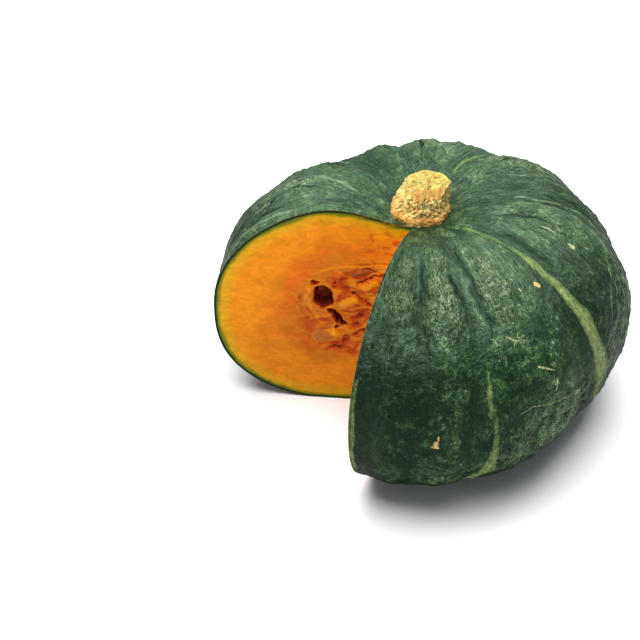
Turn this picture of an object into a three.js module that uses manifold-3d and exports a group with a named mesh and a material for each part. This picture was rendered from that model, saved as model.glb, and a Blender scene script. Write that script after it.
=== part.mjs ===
// A kabocha squash with one wedge cut out of it: the fruit, its corky stem, the wet pulp in its seed
// cavity and the seeds that lie open on the two cuts. Millimetres, +Z up. The fruit rests on z = 0
// and the origin is under the middle of its bounding box.
import * as THREE from 'three';
import { mergeVertices } from 'three/addons/utils/BufferGeometryUtils.js';
import Module from 'manifold-3d';

const wasm = await Module();
wasm.setup();

// ---- driving dimensions -------------------------------------------------------------------

// The fruit is described about its stem axis, with height 0 at its widest level.
const fruit = {
  radius: 90,            // mean radius at the widest level
  crownHeight: 62.55,    // of the rounded top, before its hollow
  baseDepth: 52.69,      // of the rounded underside, before its hollow
  crownPower: 2.08,      // 2 is an ellipse, more is squarer
  basePower: 2.7,
  crownHollow: { depth: 16.86, width: 28.78 },
  baseHollow: { depth: 8.57, width: 30.17 },
  footTrim: 0.7,         // how much of the underside is pressed flat where it rests
};

// The plan is a little out of round: cosine and sine parts of its radius, for 1, 2 and 3 lobes.
const planRound = [
  { cos: 1.61, sin: -3.83 },
  { cos: 1.37, sin: 1.72 },
  { cos: 0.84, sin: 2.1 },
];

// Furrows that run from stem to blossom end: direction about the stem, depth and half width.
const furrows = [
  { at: -109, depth: 6.0, width: 10 },
  { at: -92, depth: 2.9, width: 6 },
  { at: -76, depth: 3.0, width: 6.4 },
  { at: -54, depth: 0.8, width: 8.8 },
  { at: -36.5, depth: 4.0, width: 10 },
  { at: -19, depth: 2.1, width: 8.6 },
  { at: 9, depth: 4.1, width: 10 },
  { at: 26, depth: 3.0, width: 9.2 },
  { at: 54.6, depth: 3.8, width: 9.3 },
  { at: 75, depth: 1.2, width: 6.6 },
  { at: 97, depth: 3.8, width: 5.9 },
  { at: 113.6, depth: 4.4, width: 9 },
  { at: 127.8, depth: 6.0, width: 10 },
  { at: 149, depth: 2.7, width: 9.2 },
  { at: 174, depth: 2.2, width: 10 },
];

// The wedge that is cut out: where its two cuts meet, and their directions about the stem.
const notch = { x: -3.34, y: -12.34, leftCut: 174.78, frontCut: 249.01 };

// Where the furrows begin and fade, as falls in degrees from the stem towards the blossom end.
const furrowFade = { start: [4, 28], under: [100, 150], underShare: 0.7, blossomEnd: [150, 175] };

const cavity = { radius: 53, top: 29, bottom: -27, power: 2.8 };
const stem = {
  baseRadius: 12.2, waistRadius: 11.2, topRadius: 11, topHeight: 62.4, lean: 2.8,
  topDome: 0.06,         // how far the top falls away for each millimetre from its middle
  ribs: 7, ribHeight: 0.35,
  sunk: 4,               // how far the foot reaches below the crown's hollow
};
const seedSize = { length: 17, width: 11, thickness: 4, taper: 0.38, taperPower: 1.6 };
const gap = 0.3;         // between pieces that touch

// Segments round and down each kind of piece.
const detail = { fruit: [90, 32], cavity: [36, 12], stem: [24, 10], seed: [12, 8] };
const mergeDistance = 1e-4;
const cutterSize = 300;  // of the blocks that cut the fruit, far wider and taller than it

// Where the stem axis stands from the middle of the whole squash's bounding box.
const stemAxis = { x: -2.22, y: 4.99 };

// ---- materials ------------------------------------------------------------------------------

const rindGreen = new THREE.MeshStandardMaterial({ color: 0x2c4a2c, roughness: 0.42, metalness: 0 });
const corkTan = new THREE.MeshStandardMaterial({ color: 0xcfae6a, roughness: 0.9, metalness: 0 });
const pulpOrange = new THREE.MeshStandardMaterial({ color: 0xc8641c, roughness: 0.35, metalness: 0 });
const seedCream = new THREE.MeshStandardMaterial({ color: 0xd9a74e, roughness: 0.5, metalness: 0 });

// ---- solids ---------------------------------------------------------------------------------

// A closed three.js geometry as a solid that can be cut and joined.
function toSolid(geometry) {
  const bare = new THREE.BufferGeometry();
  bare.setAttribute('position', geometry.getAttribute('position'));
  bare.setIndex(geometry.index);
  const merged = mergeVertices(bare, mergeDistance);
  const corners = merged.index.array;
  const triangles = [];
  for (let i = 0; i < corners.length; i += 3) {
    const [a, b, c] = [corners[i], corners[i + 1], corners[i + 2]];
    if (a !== b && b !== c && c !== a) {
      triangles.push(a, b, c);
    }
  }
  return new wasm.Manifold(new wasm.Mesh({
    numProp: 3,
    vertProperties: new Float32Array(merged.getAttribute('position').array),
    triVerts: new Uint32Array(triangles),
  }));
}

function toMesh(name, solid, material) {
  const { vertProperties, triVerts } = solid.getMesh();
  const geometry = new THREE.BufferGeometry();
  geometry.setAttribute('position', new THREE.BufferAttribute(vertProperties, 3));
  geometry.setIndex(new THREE.BufferAttribute(triVerts, 1));
  geometry.computeVertexNormals();
  const mesh = new THREE.Mesh(geometry, material);
  mesh.name = name;
  return mesh;
}

// A closed skin of rings from a top pole to a bottom pole: place(turn, fall) gives each point, with
// turn from 0 to 2 pi about +Z and fall from 0 at the top to pi at the bottom.
function ringedGeometry(place, turns, rings) {
  const positions = [];
  const index = [];
  for (let ring = 0; ring <= rings; ring++) {
    for (let turn = 0; turn < turns; turn++) {
      const point = place((turn / turns) * 2 * Math.PI, (ring / rings) * Math.PI);
      positions.push(point.x, point.y, point.z);
    }
  }
  for (let ring = 0; ring < rings; ring++) {
    for (let turn = 0; turn < turns; turn++) {
      const next = (turn + 1) % turns;
      const [a, b] = [ring * turns + turn, ring * turns + next];
      const [c, d] = [a + turns, b + turns];
      if (ring > 0) {
        index.push(a, d, b);
      }
      if (ring < rings - 1) {
        index.push(a, c, d);
      }
    }
  }
  const geometry = new THREE.BufferGeometry();
  geometry.setAttribute('position', new THREE.Float32BufferAttribute(positions, 3));
  geometry.setIndex(index);
  return geometry;
}

// ---- the fruit's outside --------------------------------------------------------------------

function planRadius(turn) {
  const part = (round, i) => round.cos * Math.cos((i + 1) * turn) + round.sin * Math.sin((i + 1) * turn);
  return planRound.reduce((sum, round, i) => sum + part(round, i), fruit.radius);
}

// Furrows are full depth on the shoulders and sides, and fade at the stem and under the fruit.
function furrowDepth(turn, fall) {
  const turnDeg = THREE.MathUtils.radToDeg(turn);
  const fallDeg = THREE.MathUtils.radToDeg(fall);
  let depth = 0;
  for (const { at, depth: deepest, width } of furrows) {
    const away = THREE.MathUtils.euclideanModulo(turnDeg - at + 180, 360) - 180;
    depth += deepest * Math.exp(-((away / width) ** 2));
  }
  const begun = THREE.MathUtils.smoothstep(fallDeg, ...furrowFade.start);
  const under = furrowFade.underShare * THREE.MathUtils.smoothstep(fallDeg, ...furrowFade.under);
  const atEnd = (1 - furrowFade.underShare) * THREE.MathUtils.smoothstep(fallDeg, ...furrowFade.blossomEnd);
  return depth * begun * (1 - under - atEnd);
}

function fruitPoint(turn, fall) {
  const above = Math.cos(fall) >= 0;
  const power = above ? fruit.crownPower : fruit.basePower;
  const height = above ? fruit.crownHeight : -fruit.baseDepth;
  const hollow = above ? fruit.crownHollow : fruit.baseHollow;
  const reach = Math.abs(Math.sin(fall)) ** (2 / power);
  const dip = hollow.depth * Math.exp(-((reach * fruit.radius / hollow.width) ** 2));
  const rise = height * Math.abs(Math.cos(fall)) ** (2 / power) - Math.sign(height) * dip;
  const shrink = 1 - furrowDepth(turn, fall) / fruit.radius;
  const radius = planRadius(turn) * reach * shrink;
  return new THREE.Vector3(radius * Math.cos(turn), radius * Math.sin(turn), rise * shrink);
}

const wholeFruit = toSolid(ringedGeometry(fruitPoint, ...detail.fruit));
const footLevel = wholeFruit.boundingBox().min[2] + fruit.footTrim;

// A block that takes away everything under the foot.
function belowFoot() {
  const block = new THREE.BoxGeometry(cutterSize, cutterSize, cutterSize);
  block.translate(0, 0, footLevel - cutterSize / 2);
  return toSolid(block);
}

// The wedge between the two cuts.
function wedge() {
  const corner = (degrees) => {
    const turn = THREE.MathUtils.degToRad(degrees);
    return new THREE.Vector2(notch.x + cutterSize * Math.cos(turn), notch.y + cutterSize * Math.sin(turn));
  };
  const outline = new THREE.Shape([
    new THREE.Vector2(notch.x, notch.y),
    corner(notch.leftCut),
    corner((notch.leftCut + notch.frontCut) / 2),
    corner(notch.frontCut),
  ]);
  const prism = new THREE.ExtrudeGeometry(outline, { depth: cutterSize, bevelEnabled: false });
  prism.translate(0, 0, -cutterSize / 2);
  return toSolid(prism);
}

// ---- the seed cavity ------------------------------------------------------------------------

function cavitySolid(inset) {
  const middle = (cavity.top + cavity.bottom) / 2;
  const halfHeight = (cavity.top - cavity.bottom) / 2 - inset;
  const place = (turn, fall) => {
    const reach = (cavity.radius - inset) * Math.abs(Math.sin(fall)) ** (2 / cavity.power);
    const rise = halfHeight * Math.sign(Math.cos(fall)) * Math.abs(Math.cos(fall)) ** (2 / cavity.power);
    return new THREE.Vector3(reach * Math.cos(turn), reach * Math.sin(turn), middle + rise);
  };
  return toSolid(ringedGeometry(place, ...detail.cavity));
}

// ---- the stem -------------------------------------------------------------------------------

// A corky stub that leans a little, ribbed, wider at its foot and roughly cut off on top.
function stemSolid() {
  const foot = fruit.crownHeight - fruit.crownHollow.depth - stem.sunk;
  const [turns, levels] = detail.stem;
  const place = (turn, fall) => {
    const along = THREE.MathUtils.clamp((fall / Math.PI) * levels - 1, 0, levels - 2) / (levels - 2);
    const up = 1 - along;
    const waist = 4 * up * (1 - up);
    const straight = THREE.MathUtils.lerp(stem.baseRadius, stem.topRadius, up);
    const rib = stem.ribHeight * Math.cos(stem.ribs * turn);
    const ribbed = straight + waist * (stem.waistRadius - straight) + rib;
    const atPole = fall < 1e-6 || fall > Math.PI - 1e-6;
    const radius = atPole ? 0 : ribbed;
    const z = THREE.MathUtils.lerp(foot, stem.topHeight - stem.topDome * radius, up);
    return new THREE.Vector3(radius * Math.cos(turn) + stem.lean * up * up, radius * Math.sin(turn), z);
  };
  return toSolid(ringedGeometry(place, turns, levels));
}

// ---- seeds and their pockets ----------------------------------------------------------------

// A flat drop: round at one end and drawn in at the other. Its long side is X, its flat faces +-Z.
function seedSolid(grow) {
  const halfLength = seedSize.length / 2 + grow;
  const halfWidth = seedSize.width / 2 + grow;
  const halfThickness = seedSize.thickness / 2 + grow;
  const drop = new THREE.SphereGeometry(1, ...detail.seed);
  const points = drop.getAttribute('position');
  for (let i = 0; i < points.count; i++) {
    const [x, y, z] = [points.getX(i), points.getY(i), points.getZ(i)];
    const taper = 1 - seedSize.taper * Math.max(0, x) ** seedSize.taperPower;
    points.setXYZ(i, x * halfLength, y * halfWidth * taper, z * halfThickness);
  }
  return toSolid(drop);
}

// The frame of something that lies in a cut: X is its long side, turned by spin from the direction
// straight out along the cut, and Z faces off the cut, tipped by tip along and by roll across.
function placeOnCut({ cut, out, up, deep = 0, spin = 0, tip = 0, roll = 0 }) {
  const turn = THREE.MathUtils.degToRad(notch[cut]);
  const side = cut === 'leftCut' ? 1 : -1;
  const outward = new THREE.Vector3(Math.cos(turn), Math.sin(turn), 0);
  const upward = new THREE.Vector3(0, 0, 1);
  const offCut = new THREE.Vector3(-outward.y, outward.x, 0).multiplyScalar(side);
  const long = outward.clone().applyAxisAngle(offCut, side * -THREE.MathUtils.degToRad(spin));
  const across = offCut.clone().cross(long);
  const basis = new THREE.Matrix4().makeBasis(long, across, offCut);
  const lean = new THREE.Matrix4().makeRotationFromEuler(
    new THREE.Euler(THREE.MathUtils.degToRad(roll), THREE.MathUtils.degToRad(tip), 0));
  const spot = new THREE.Vector3(notch.x, notch.y, 0);
  spot.addScaledVector(outward, out).addScaledVector(upward, up).addScaledVector(offCut, -deep);
  return basis.multiply(lean).setPosition(spot);
}

const seeds = {
  seed_left_1: { cut: 'leftCut', out: 34.5, up: -12.8, deep: 1.9, spin: 178, tip: 5 },
  seed_left_2: { cut: 'leftCut', out: 19.6, up: 20.6, deep: 3.4, spin: 161, roll: 40 },
  seed_left_3: { cut: 'leftCut', out: 37.5, up: 7.5, deep: 8, spin: 75, roll: 20 },
  seed_front_1: { cut: 'frontCut', out: 27, up: 13, deep: 0.6, spin: 20, tip: -8 },
  seed_front_2: { cut: 'frontCut', out: 31, up: 0, deep: 2.4, spin: -10, roll: 14 },
  seed_front_3: { cut: 'frontCut', out: 13, up: -9, deep: 2, spin: 62, tip: 6 },
  seed_front_4: { cut: 'frontCut', out: 27, up: -14, deep: 0.8, spin: 45, roll: -10 },
  seed_front_5: { cut: 'frontCut', out: 10, up: 13, deep: 1.4, spin: 70 },
};

// Dark hollows in the pulp, open at a cut. Each is half an ellipsoid: long, across and deep.
const hollows = [
  { cut: 'leftCut', out: 37.6, up: 9, spin: 80, half: [5.6, 3.9, 9] },
  { cut: 'leftCut', out: 32.2, up: -1.3, spin: 57, half: [3.6, 2.2, 6] },
  { cut: 'frontCut', out: 34.5, up: 10, spin: 60, half: [6, 3.4, 8] },
  { cut: 'frontCut', out: 20, up: 1, spin: 30, half: [5, 3, 7] },
  { cut: 'frontCut', out: 20, up: -19, spin: -15, half: [5.5, 2.2, 6] },
  { cut: 'frontCut', out: 16.5, up: 20, spin: -25, half: [4.5, 2.4, 6] },
];

function hollowSolid(hollow) {
  const ellipsoid = new THREE.SphereGeometry(1, ...detail.seed);
  ellipsoid.scale(...hollow.half);
  ellipsoid.applyMatrix4(placeOnCut(hollow));
  return toSolid(ellipsoid);
}

function placedSeed(spot, grow) {
  return seedSolid(grow).transform(placeOnCut(spot).toArray());
}

// ---- assembly -------------------------------------------------------------------------------

const cutAway = wedge();
const fruitBody = wholeFruit.subtract(belowFoot()).subtract(cutAway).subtract(cavitySolid(0));
const stemBody = stemSolid().subtract(wholeFruit.translate([0, 0, gap]));

let pulpBody = cavitySolid(gap).subtract(cutAway);
for (const hollow of hollows) {
  pulpBody = pulpBody.subtract(hollowSolid(hollow));
}
for (const spot of Object.values(seeds)) {
  pulpBody = pulpBody.subtract(placedSeed(spot, gap));
}

const squash = new THREE.Group();
squash.position.set(stemAxis.x, stemAxis.y, -footLevel);
squash.add(toMesh('fruit', fruitBody, rindGreen));
squash.add(toMesh('stem', stemBody, corkTan));
squash.add(toMesh('pulp', pulpBody, pulpOrange));
for (const [name, spot] of Object.entries(seeds)) {
  squash.add(toMesh(name, placedSeed(spot, 0), seedCream));
}

export default squash;
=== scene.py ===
import math

import bmesh
import bpy
import numpy as np
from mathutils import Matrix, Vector


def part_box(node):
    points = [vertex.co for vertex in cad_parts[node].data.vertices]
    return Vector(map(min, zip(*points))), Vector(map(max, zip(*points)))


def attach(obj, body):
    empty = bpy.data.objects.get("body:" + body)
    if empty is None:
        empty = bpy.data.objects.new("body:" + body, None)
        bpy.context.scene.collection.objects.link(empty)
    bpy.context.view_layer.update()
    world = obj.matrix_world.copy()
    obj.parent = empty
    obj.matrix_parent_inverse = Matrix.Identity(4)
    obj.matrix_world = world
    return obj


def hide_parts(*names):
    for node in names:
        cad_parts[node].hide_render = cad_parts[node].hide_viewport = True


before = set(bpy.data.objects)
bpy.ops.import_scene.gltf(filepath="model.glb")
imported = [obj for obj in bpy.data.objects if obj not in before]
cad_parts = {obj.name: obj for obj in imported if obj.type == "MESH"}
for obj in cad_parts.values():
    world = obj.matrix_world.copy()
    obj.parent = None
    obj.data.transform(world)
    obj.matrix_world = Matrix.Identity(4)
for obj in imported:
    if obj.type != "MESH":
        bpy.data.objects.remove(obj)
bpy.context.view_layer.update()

scene = bpy.context.scene
mm = 0.001

# The squash is worked out in millimetres about its stem axis, with height 0 at its widest level.
# The top corner of the pulp's box says where that point stands in the frame.
pulpCorner = (0.0527, 0.0527, 0.0287)
stemPlace = Vector([corner - reach for corner, reach in zip(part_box("pulp")[1], pulpCorner)])


def rgb(red, green, blue):
    # screen values 0 to 255 as the linear colour that nodes want
    linear = [((c / 255 + 0.055) / 1.055) ** 2.4 if c > 10 else c / 255 / 12.92 for c in (red, green, blue)]
    return (*linear, 1.0)


def smooth(value, low, high):
    t = np.clip((value - low) / (high - low), 0, 1)
    return t * t * (3 - 2 * t)


def bell(value, width):
    return np.exp(-(value / width) ** 2)


def mixed(a, b, share):
    return a + (b - a) * share


scatterNumbers = ((127.1, 311.7, 43758.5453), (269.5, 183.3, 24634.6345))


def scattered(i, j, seed, which=0):
    # a number from 0 to 1 for each square of a grid, in no order that shows
    right, up, spread = scatterNumbers[which]
    value = np.sin(i * right + j * up + seed) * spread
    return value - np.floor(value)


def ripple(x, y, seed):
    # smooth noise from -1 to 1 over a unit grid
    i, j = np.floor(x), np.floor(y)
    u, v = smooth(x - i, 0, 1), smooth(y - j, 0, 1)

    def edge(dj):
        a, b = (scattered(i + di, j + dj, seed * 74.7) * 2 - 1 for di in (0, 1))
        return mixed(a, b, u)
    return mixed(edge(0), edge(1), v)


def layers(x, y, seed):
    # three sizes of smooth noise laid over one another
    sizes = ((0.6, 1), (0.4, 2.1), (0.25, 4.3))
    return sum(weight * ripple(x * size, y * size, seed + i) for i, (weight, size) in enumerate(sizes))


def cells(x, y, seed):
    # how far inside its cell each point is, from 0 at a crack, and the cell's own number from 0 to 1
    nearest = np.full(x.shape, 9.0)
    second = np.full(x.shape, 9.0)
    number = np.zeros(x.shape)
    for di in (-1, 0, 1):
        for dj in (-1, 0, 1):
            i, j = np.floor(x) + di, np.floor(y) + dj
            a, b = (scattered(i, j, seed, which) for which in (0, 1))
            gap = np.hypot(i + a - x, j + b - y)
            closer = gap < nearest
            second = np.where(closer, nearest, np.minimum(second, gap))
            number = np.where(closer, a, number)
            nearest = np.where(closer, gap, nearest)
    return second - nearest, number


cameraView = {
    "elevation": 38.74,           # degrees above the floor
    "distance": 0.8,              # from the widest level of the stem axis
    "lens": 103.22, "sensor": 36, "nearest": 0.01,
    "right": -0.04182, "up": -0.00865,
}


def makeCamera():
    rise = math.radians(cameraView["elevation"])
    back = Vector((0, -math.cos(rise), math.sin(rise)))
    up = Vector((0, math.sin(rise), math.cos(rise)))
    data = bpy.data.cameras.new("kitchen_camera")
    data.lens = cameraView["lens"]
    data.sensor_width = cameraView["sensor"]
    data.clip_start = cameraView["nearest"]
    camera = bpy.data.objects.new("kitchen_camera", data)
    camera.location = (stemPlace + back * cameraView["distance"] + up * cameraView["up"]
                       + Vector((cameraView["right"], 0, 0)))
    camera.rotation_euler = (math.pi / 2 - rise, 0, 0)
    scene.collection.objects.link(camera)
    scene.camera = camera


makeCamera()
print("camera placed")


nodeSpacing = (220, -300)


class Field:
    # what a node puts out, used in sums like a number
    def __init__(self, nodes, socket):
        self.nodes, self.socket = nodes, socket

    def __add__(self, other):
        return self.nodes.maths("ADD", self, other)

    def __sub__(self, other):
        return self.nodes.maths("SUBTRACT", self, other)

    def __rsub__(self, other):
        return self.nodes.maths("SUBTRACT", other, self)

    def __mul__(self, other):
        return self.nodes.maths("MULTIPLY", self, other)

    def __abs__(self):
        return self.nodes.maths("ABSOLUTE", self)

    def ramp(self, low, high, toLow=0.0, toHigh=1.0, kind="SMOOTHSTEP"):
        return self.nodes.out("ShaderNodeMapRange", "Result", interpolation_type=kind, in_Value=self,
                              in_From_Min=low, in_From_Max=high, in_To_Min=toLow, in_To_Max=toHigh)


class Nodes:
    # builds one node tree
    def __init__(self, tree):
        self.tree = tree

    def put(self, socket, value):
        if isinstance(value, Field):
            self.tree.links.new(value.socket, socket)
        else:
            socket.default_value = value

    def add(self, kind, **settings):
        # a setting that starts with in_ is for the input of that name or number
        node = self.tree.nodes.new(kind)
        for name, value in settings.items():
            if name.startswith("in_"):
                key = name[3:].replace("_", " ")
                self.put(node.inputs[int(key) if key.isdigit() else key], value)
            else:
                setattr(node, name, value)
        return node

    def out(self, kind, key=0, **settings):
        return Field(self, self.add(kind, **settings).outputs[key])

    def outs(self, node):
        return [Field(self, socket) for socket in node.outputs]

    def maths(self, operation, *values, clamp=False):
        inputs = {f"in_{slot}": value for slot, value in enumerate(values)}
        return self.out("ShaderNodeMath", operation=operation, use_clamp=clamp, **inputs)

    def vector(self, operation, **inputs):
        return self.out("ShaderNodeVectorMath", operation=operation, **inputs)

    def mix(self, share, a, b, blend="MIX"):
        return self.out("ShaderNodeMix", 2, data_type="RGBA", blend_type=blend, in_0=share, in_6=a, in_7=b)

    def noise(self, vector, scale, detail, roughness=0.5, distortion=0.0, key="Fac"):
        return self.out("ShaderNodeTexNoise", key, in_Vector=vector, in_Scale=scale, in_Detail=detail,
                        in_Roughness=roughness, in_Distortion=distortion)

    def mapped(self, vector, scale=(1, 1, 1), shift=(0, 0, 0)):
        return self.out("ShaderNodeMapping", in_Vector=vector, in_Scale=scale, in_Location=shift)

    def attribute(self, name, key="Fac"):
        return self.out("ShaderNodeAttribute", key, attribute_name=name)

    def stored(self, name, kind="FLOAT"):
        return self.out("GeometryNodeInputNamedAttribute", "Attribute", data_type=kind, in_Name=name)

    def parts(self, colour, kind="ShaderNodeSeparateColor"):
        return self.outs(self.add(kind, in_0=colour))

    def bump(self, height, strength, distance):
        return self.out("ShaderNodeBump", in_Strength=strength, in_Distance=distance, in_Height=height)

    def dress(self, **values):
        # sets or wires the inputs of a material's own shader, and ends its tree
        shader = self.tree.nodes["Principled BSDF"]
        for name, value in values.items():
            self.put(shader.inputs[name.replace("_", " ")], value)
        self.arrange()

    def leave(self, **fields):
        # ends a group with what it puts out
        self.add("NodeGroupOutput", **{"in_" + name: field for name, field in fields.items()})
        self.arrange()
        return self.tree

    def arrange(self):
        # each node stands to the right of all that feed it
        pairs = [(link.from_node.name, link.to_node.name) for link in self.tree.links]
        columns = {node.name: 0 for node in self.tree.nodes}
        for _ in columns:
            for feeder, fed in pairs:
                columns[fed] = max(columns[fed], columns[feeder] + 1)
        rows = {}
        for node in self.tree.nodes:
            column = columns[node.name]
            node.location = (column * nodeSpacing[0], rows.get(column, 0) * nodeSpacing[1])
            rows[column] = rows.get(column, 0) + 1


def newGroup(name, kind, inputs, outputs):
    # an input's value is its kind of socket, or the number that it is until it is set
    group = bpy.data.node_groups.new(name, kind)
    for label, value in inputs.items():
        socketKind = value if isinstance(value, str) else "Int" if isinstance(value, int) else "Float"
        socket = group.interface.new_socket(label, in_out="INPUT", socket_type="NodeSocket" + socketKind)
        if socketKind != value:
            socket.default_value = value
    for label, socketKind in outputs.items():
        group.interface.new_socket(label, in_out="OUTPUT", socket_type="NodeSocket" + socketKind)
    nodes = Nodes(group)
    entry = nodes.add("NodeGroupInput")
    return nodes, {label: Field(nodes, entry.outputs[label]) for label in inputs}


def newMaterial(name):
    material = bpy.data.materials.new(name)
    material.use_nodes = True
    return material, Nodes(material.node_tree)


squash = {
    "radius": 90.0,
    "crownHeight": 62.55, "crownPower": 2.08, "crownHollow": (16.86, 28.78),
    "baseDepth": 52.69, "basePower": 2.7, "baseHollow": (8.57, 30.17),
    "planRound": ((1.61, -3.83), (1.37, 1.72), (0.84, 2.1)),
    # direction about the stem, depth, half width
    "furrows": ((-109, 6.0, 10), (-92, 2.9, 6), (-76, 3.0, 6.4), (-54, 0.8, 8.8), (-36.5, 4.0, 10),
                (-19, 2.1, 8.6), (9, 4.1, 10), (26, 3.0, 9.2), (54.6, 3.8, 9.3), (75, 1.2, 6.6),
                (97, 3.8, 5.9), (113.6, 4.4, 9), (127.8, 6.0, 10), (149, 2.7, 9.2), (174, 2.2, 10)),
    "notch": (-3.34, -12.34),
    "leftCut": 174.78, "frontCut": 249.01,
    "cavity": (53.0, 1.0, 28.0, 2.8),         # radius, middle height, half height, squareness
    "columns": 340, "rows": 200,
    "rimSteps": 30, "rimCrowding": 1.7,       # from the rim to the cavity, closer together at the rim
    "wallPoints": 41,                         # round the cavity behind the cuts
    "downRadius": 74.0,                       # mean radius of the rind seen from the side
}
cutNames = ("frontCut", "leftCut")

# Creases and ridges in the rind: depth, half width, then (turn, fall) along each.
rindLines = (
    (1.4, 1.5, ((-91, 25), (-92, 34), (-92, 43), (-93, 48), (-90, 56), (-91, 64))),
    (1.7, 1.6, ((-75, 17), (-72, 26), (-71, 30), (-70, 37), (-70, 43), (-69, 47), (-68, 51), (-69, 57))),
    (1.0, 1.3, ((-79, 30), (-77, 38), (-75, 45), (-75, 58))),
    (1.5, 1.4, ((-35, 22), (-34, 27), (-32, 31), (-32, 36), (-32, 41), (-31, 44), (-30, 47))),
    (-0.5, 1.0, ((3, 21), (6, 27), (5, 32), (5, 36), (7, 42), (8, 48), (6, 51), (4, 55), (2, 59), (1, 65),
                 (-4, 69))),
    (-0.3, 0.8, ((-5, 20), (-3, 28), (0, 34), (2, 39), (1, 43), (-1, 47), (-3, 51), (-5, 56), (-9, 61))),
    (0.7, 1.1, ((-1, 20), (1, 28), (2.5, 34), (4, 40), (4, 46), (1.5, 52), (-1, 57))),
    (0.7, 1.4, ((17, 37), (14, 44), (13, 50), (9.5, 54), (9, 60), (4, 66))),
    (-0.3, 0.8, ((28, 24), (27, 31), (27, 37), (24.5, 41), (24, 45), (24, 49), (23, 54))),
    (-0.25, 0.8, ((30, 34), (28, 41), (28, 46), (29, 53))),
    (0.4, 1.0, ((-25, 44), (-24, 47), (-24, 50))),
    (-0.3, 0.7, ((-7, 67), (-10, 72), (-13, 77), (-16, 84), (-20, 89), (-24, 94))),
    (-0.3, 0.6, ((-15, 75), (-19, 77), (-22, 80), (-24, 84), (-25, 89), (-27, 92), (-30, 95))),
    (-0.3, 0.6, ((-13, 82), (-17, 86), (-21, 90), (-24, 96), (-30, 103))),
    (-0.3, 0.6, ((-35, 91), (-38, 93), (-42, 92), (-44, 95), (-46, 100), (-50, 108))),
    (-0.3, 0.6, ((-33, 96), (-37, 95), (-42, 98), (-46, 104), (-48, 110))),
    (-0.3, 0.6, ((-36, 103), (-40, 102), (-44, 99.6), (-47, 101), (-54, 106))),
    (-0.25, 0.6, ((-46, 93), (-50, 92), (-53, 93), (-56, 97), (-60, 104))),
    (-0.3, 0.7, ((-9, 62), (-13, 68), (-16, 73), (-20, 81), (-26, 87))),
    (-0.25, 0.7, ((-8, 57), (-13, 63), (-18, 70), (-23, 77), (-29, 85), (-33, 92))),
    (0.5, 1.2, ((-22, 19), (-16, 24), (-13, 30), (-12, 34), (-11, 39))),
    (0.6, 1.6, ((18, 36), (23, 52), (20, 61), (16, 69))),
    (-0.4, 1.9, ((155, 50), (154, 42), (154, 37), (155, 32), (157, 27), (160, 23), (163, 20), (167, 15))),
    (-0.4, 1.3, ((172, 60), (169, 51), (167, 44))),
    (-0.5, 2.4, ((181.4, 70), (180.4, 60), (179.8, 54), (179.8, 48), (180.8, 42), (183, 34))),
    (0.8, 1.3, ((180, 65), (176.5, 59), (175, 53), (173.5, 50), (174.5, 45), (176.5, 38))),
    (0.6, 1.3, ((171, 50), (166, 45), (163, 40), (164, 33), (166, 27))),
    (0.7, 1.4, ((40, 24), (41, 38), (42, 52), (40, 66))),
    (0.6, 1.3, ((66, 30), (67, 46), (66, 60))),
    (0.8, 1.5, ((86, 22), (87, 36), (88, 50), (87, 64), (88, 76))),
    (0.6, 1.2, ((105, 26), (106, 40), (105, 56))),
    (-0.4, 0.9, ((79, 24), (80, 36), (81, 50), (79, 62))), (-0.4, 0.9, ((131, 24), (132, 38), (134, 52),
                 (131, 66))),
    (-0.35, 0.9, ((48, 22), (49, 34), (48, 48), (50, 60))),
    (0.7, 1.4, ((121, 34), (121, 48), (119, 60))),
    (0.8, 1.5, ((138, 24), (139, 38), (138, 54), (140, 68))),
)

# Pale stripes that lie in the furrows: (turn, fall, half width in mm) along each.
rindStripes = (
    ((-54, 11, 0.5), (-48, 15, 0.6), (-46, 21, 0.8), (-42, 28, 1.0), (-39, 35, 1.3), (-37, 46, 2.2),
     (-35, 57, 2.6), (-33, 66, 3.2), (-33, 72, 3.6), (-32, 79, 3.4), (-30.5, 88, 4.4), (-29, 94, 4.2),
     (-30, 100, 2.4), (-31, 104, 0.9)),
    ((-73.2, 64, 0.1), (-73.0, 68, 0.6), (-73.0, 77, 0.8), (-73.2, 82, 0.75), (-73.8, 87, 0.6),
     (-74.3, 92, 0.1)),
    ((-71.8, 77, 0.1), (-71.6, 84, 0.5), (-71.4, 91, 1.0), (-71.5, 99, 1.8), (-71.8, 107, 2.9),
     (-73.0, 114, 3.9), (-75.3, 120, 4.2), (-78, 128, 3.0), (-80, 134, 0.4)),
    ((55, 17, 0.4), (57, 21, 0.8), (55, 26, 1.1), (53, 31, 0.9), (53, 36, 0.3)),
    ((-109.4, 62, 0.2), (-109.6, 70, 0.9), (-109.5, 80, 1.3), (-109.3, 92, 1.5), (-109.3, 104, 1.5),
     (-109.6, 114, 1.2), (-110, 122, 0.2)),
    ((10, 84, 0.4), (9, 92, 1.4), (9, 102, 2.2), (8, 112, 1.8), (7, 122, 0.5)),
    ((56, 60, 0.4), (55, 70, 1.5), (54, 82, 2.8), (54, 94, 3.4), (55, 106, 2.6), (56, 118, 0.8)),
    ((97, 42, 0.4), (97, 54, 1.2), (98, 68, 2.3), (97, 80, 3.2), (96, 92, 3.6), (96, 104, 2.8),
     (97, 116, 0.8)),
    ((129, 76, 0.4), (128, 86, 2.0), (128, 98, 3.2), (127, 110, 3.6), (127, 122, 2.0), (126, 130, 0.4)),
    ((150, 66, 0.4), (150, 76, 1.2), (149, 88, 1.8), (150, 98, 0.8)),
)

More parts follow.
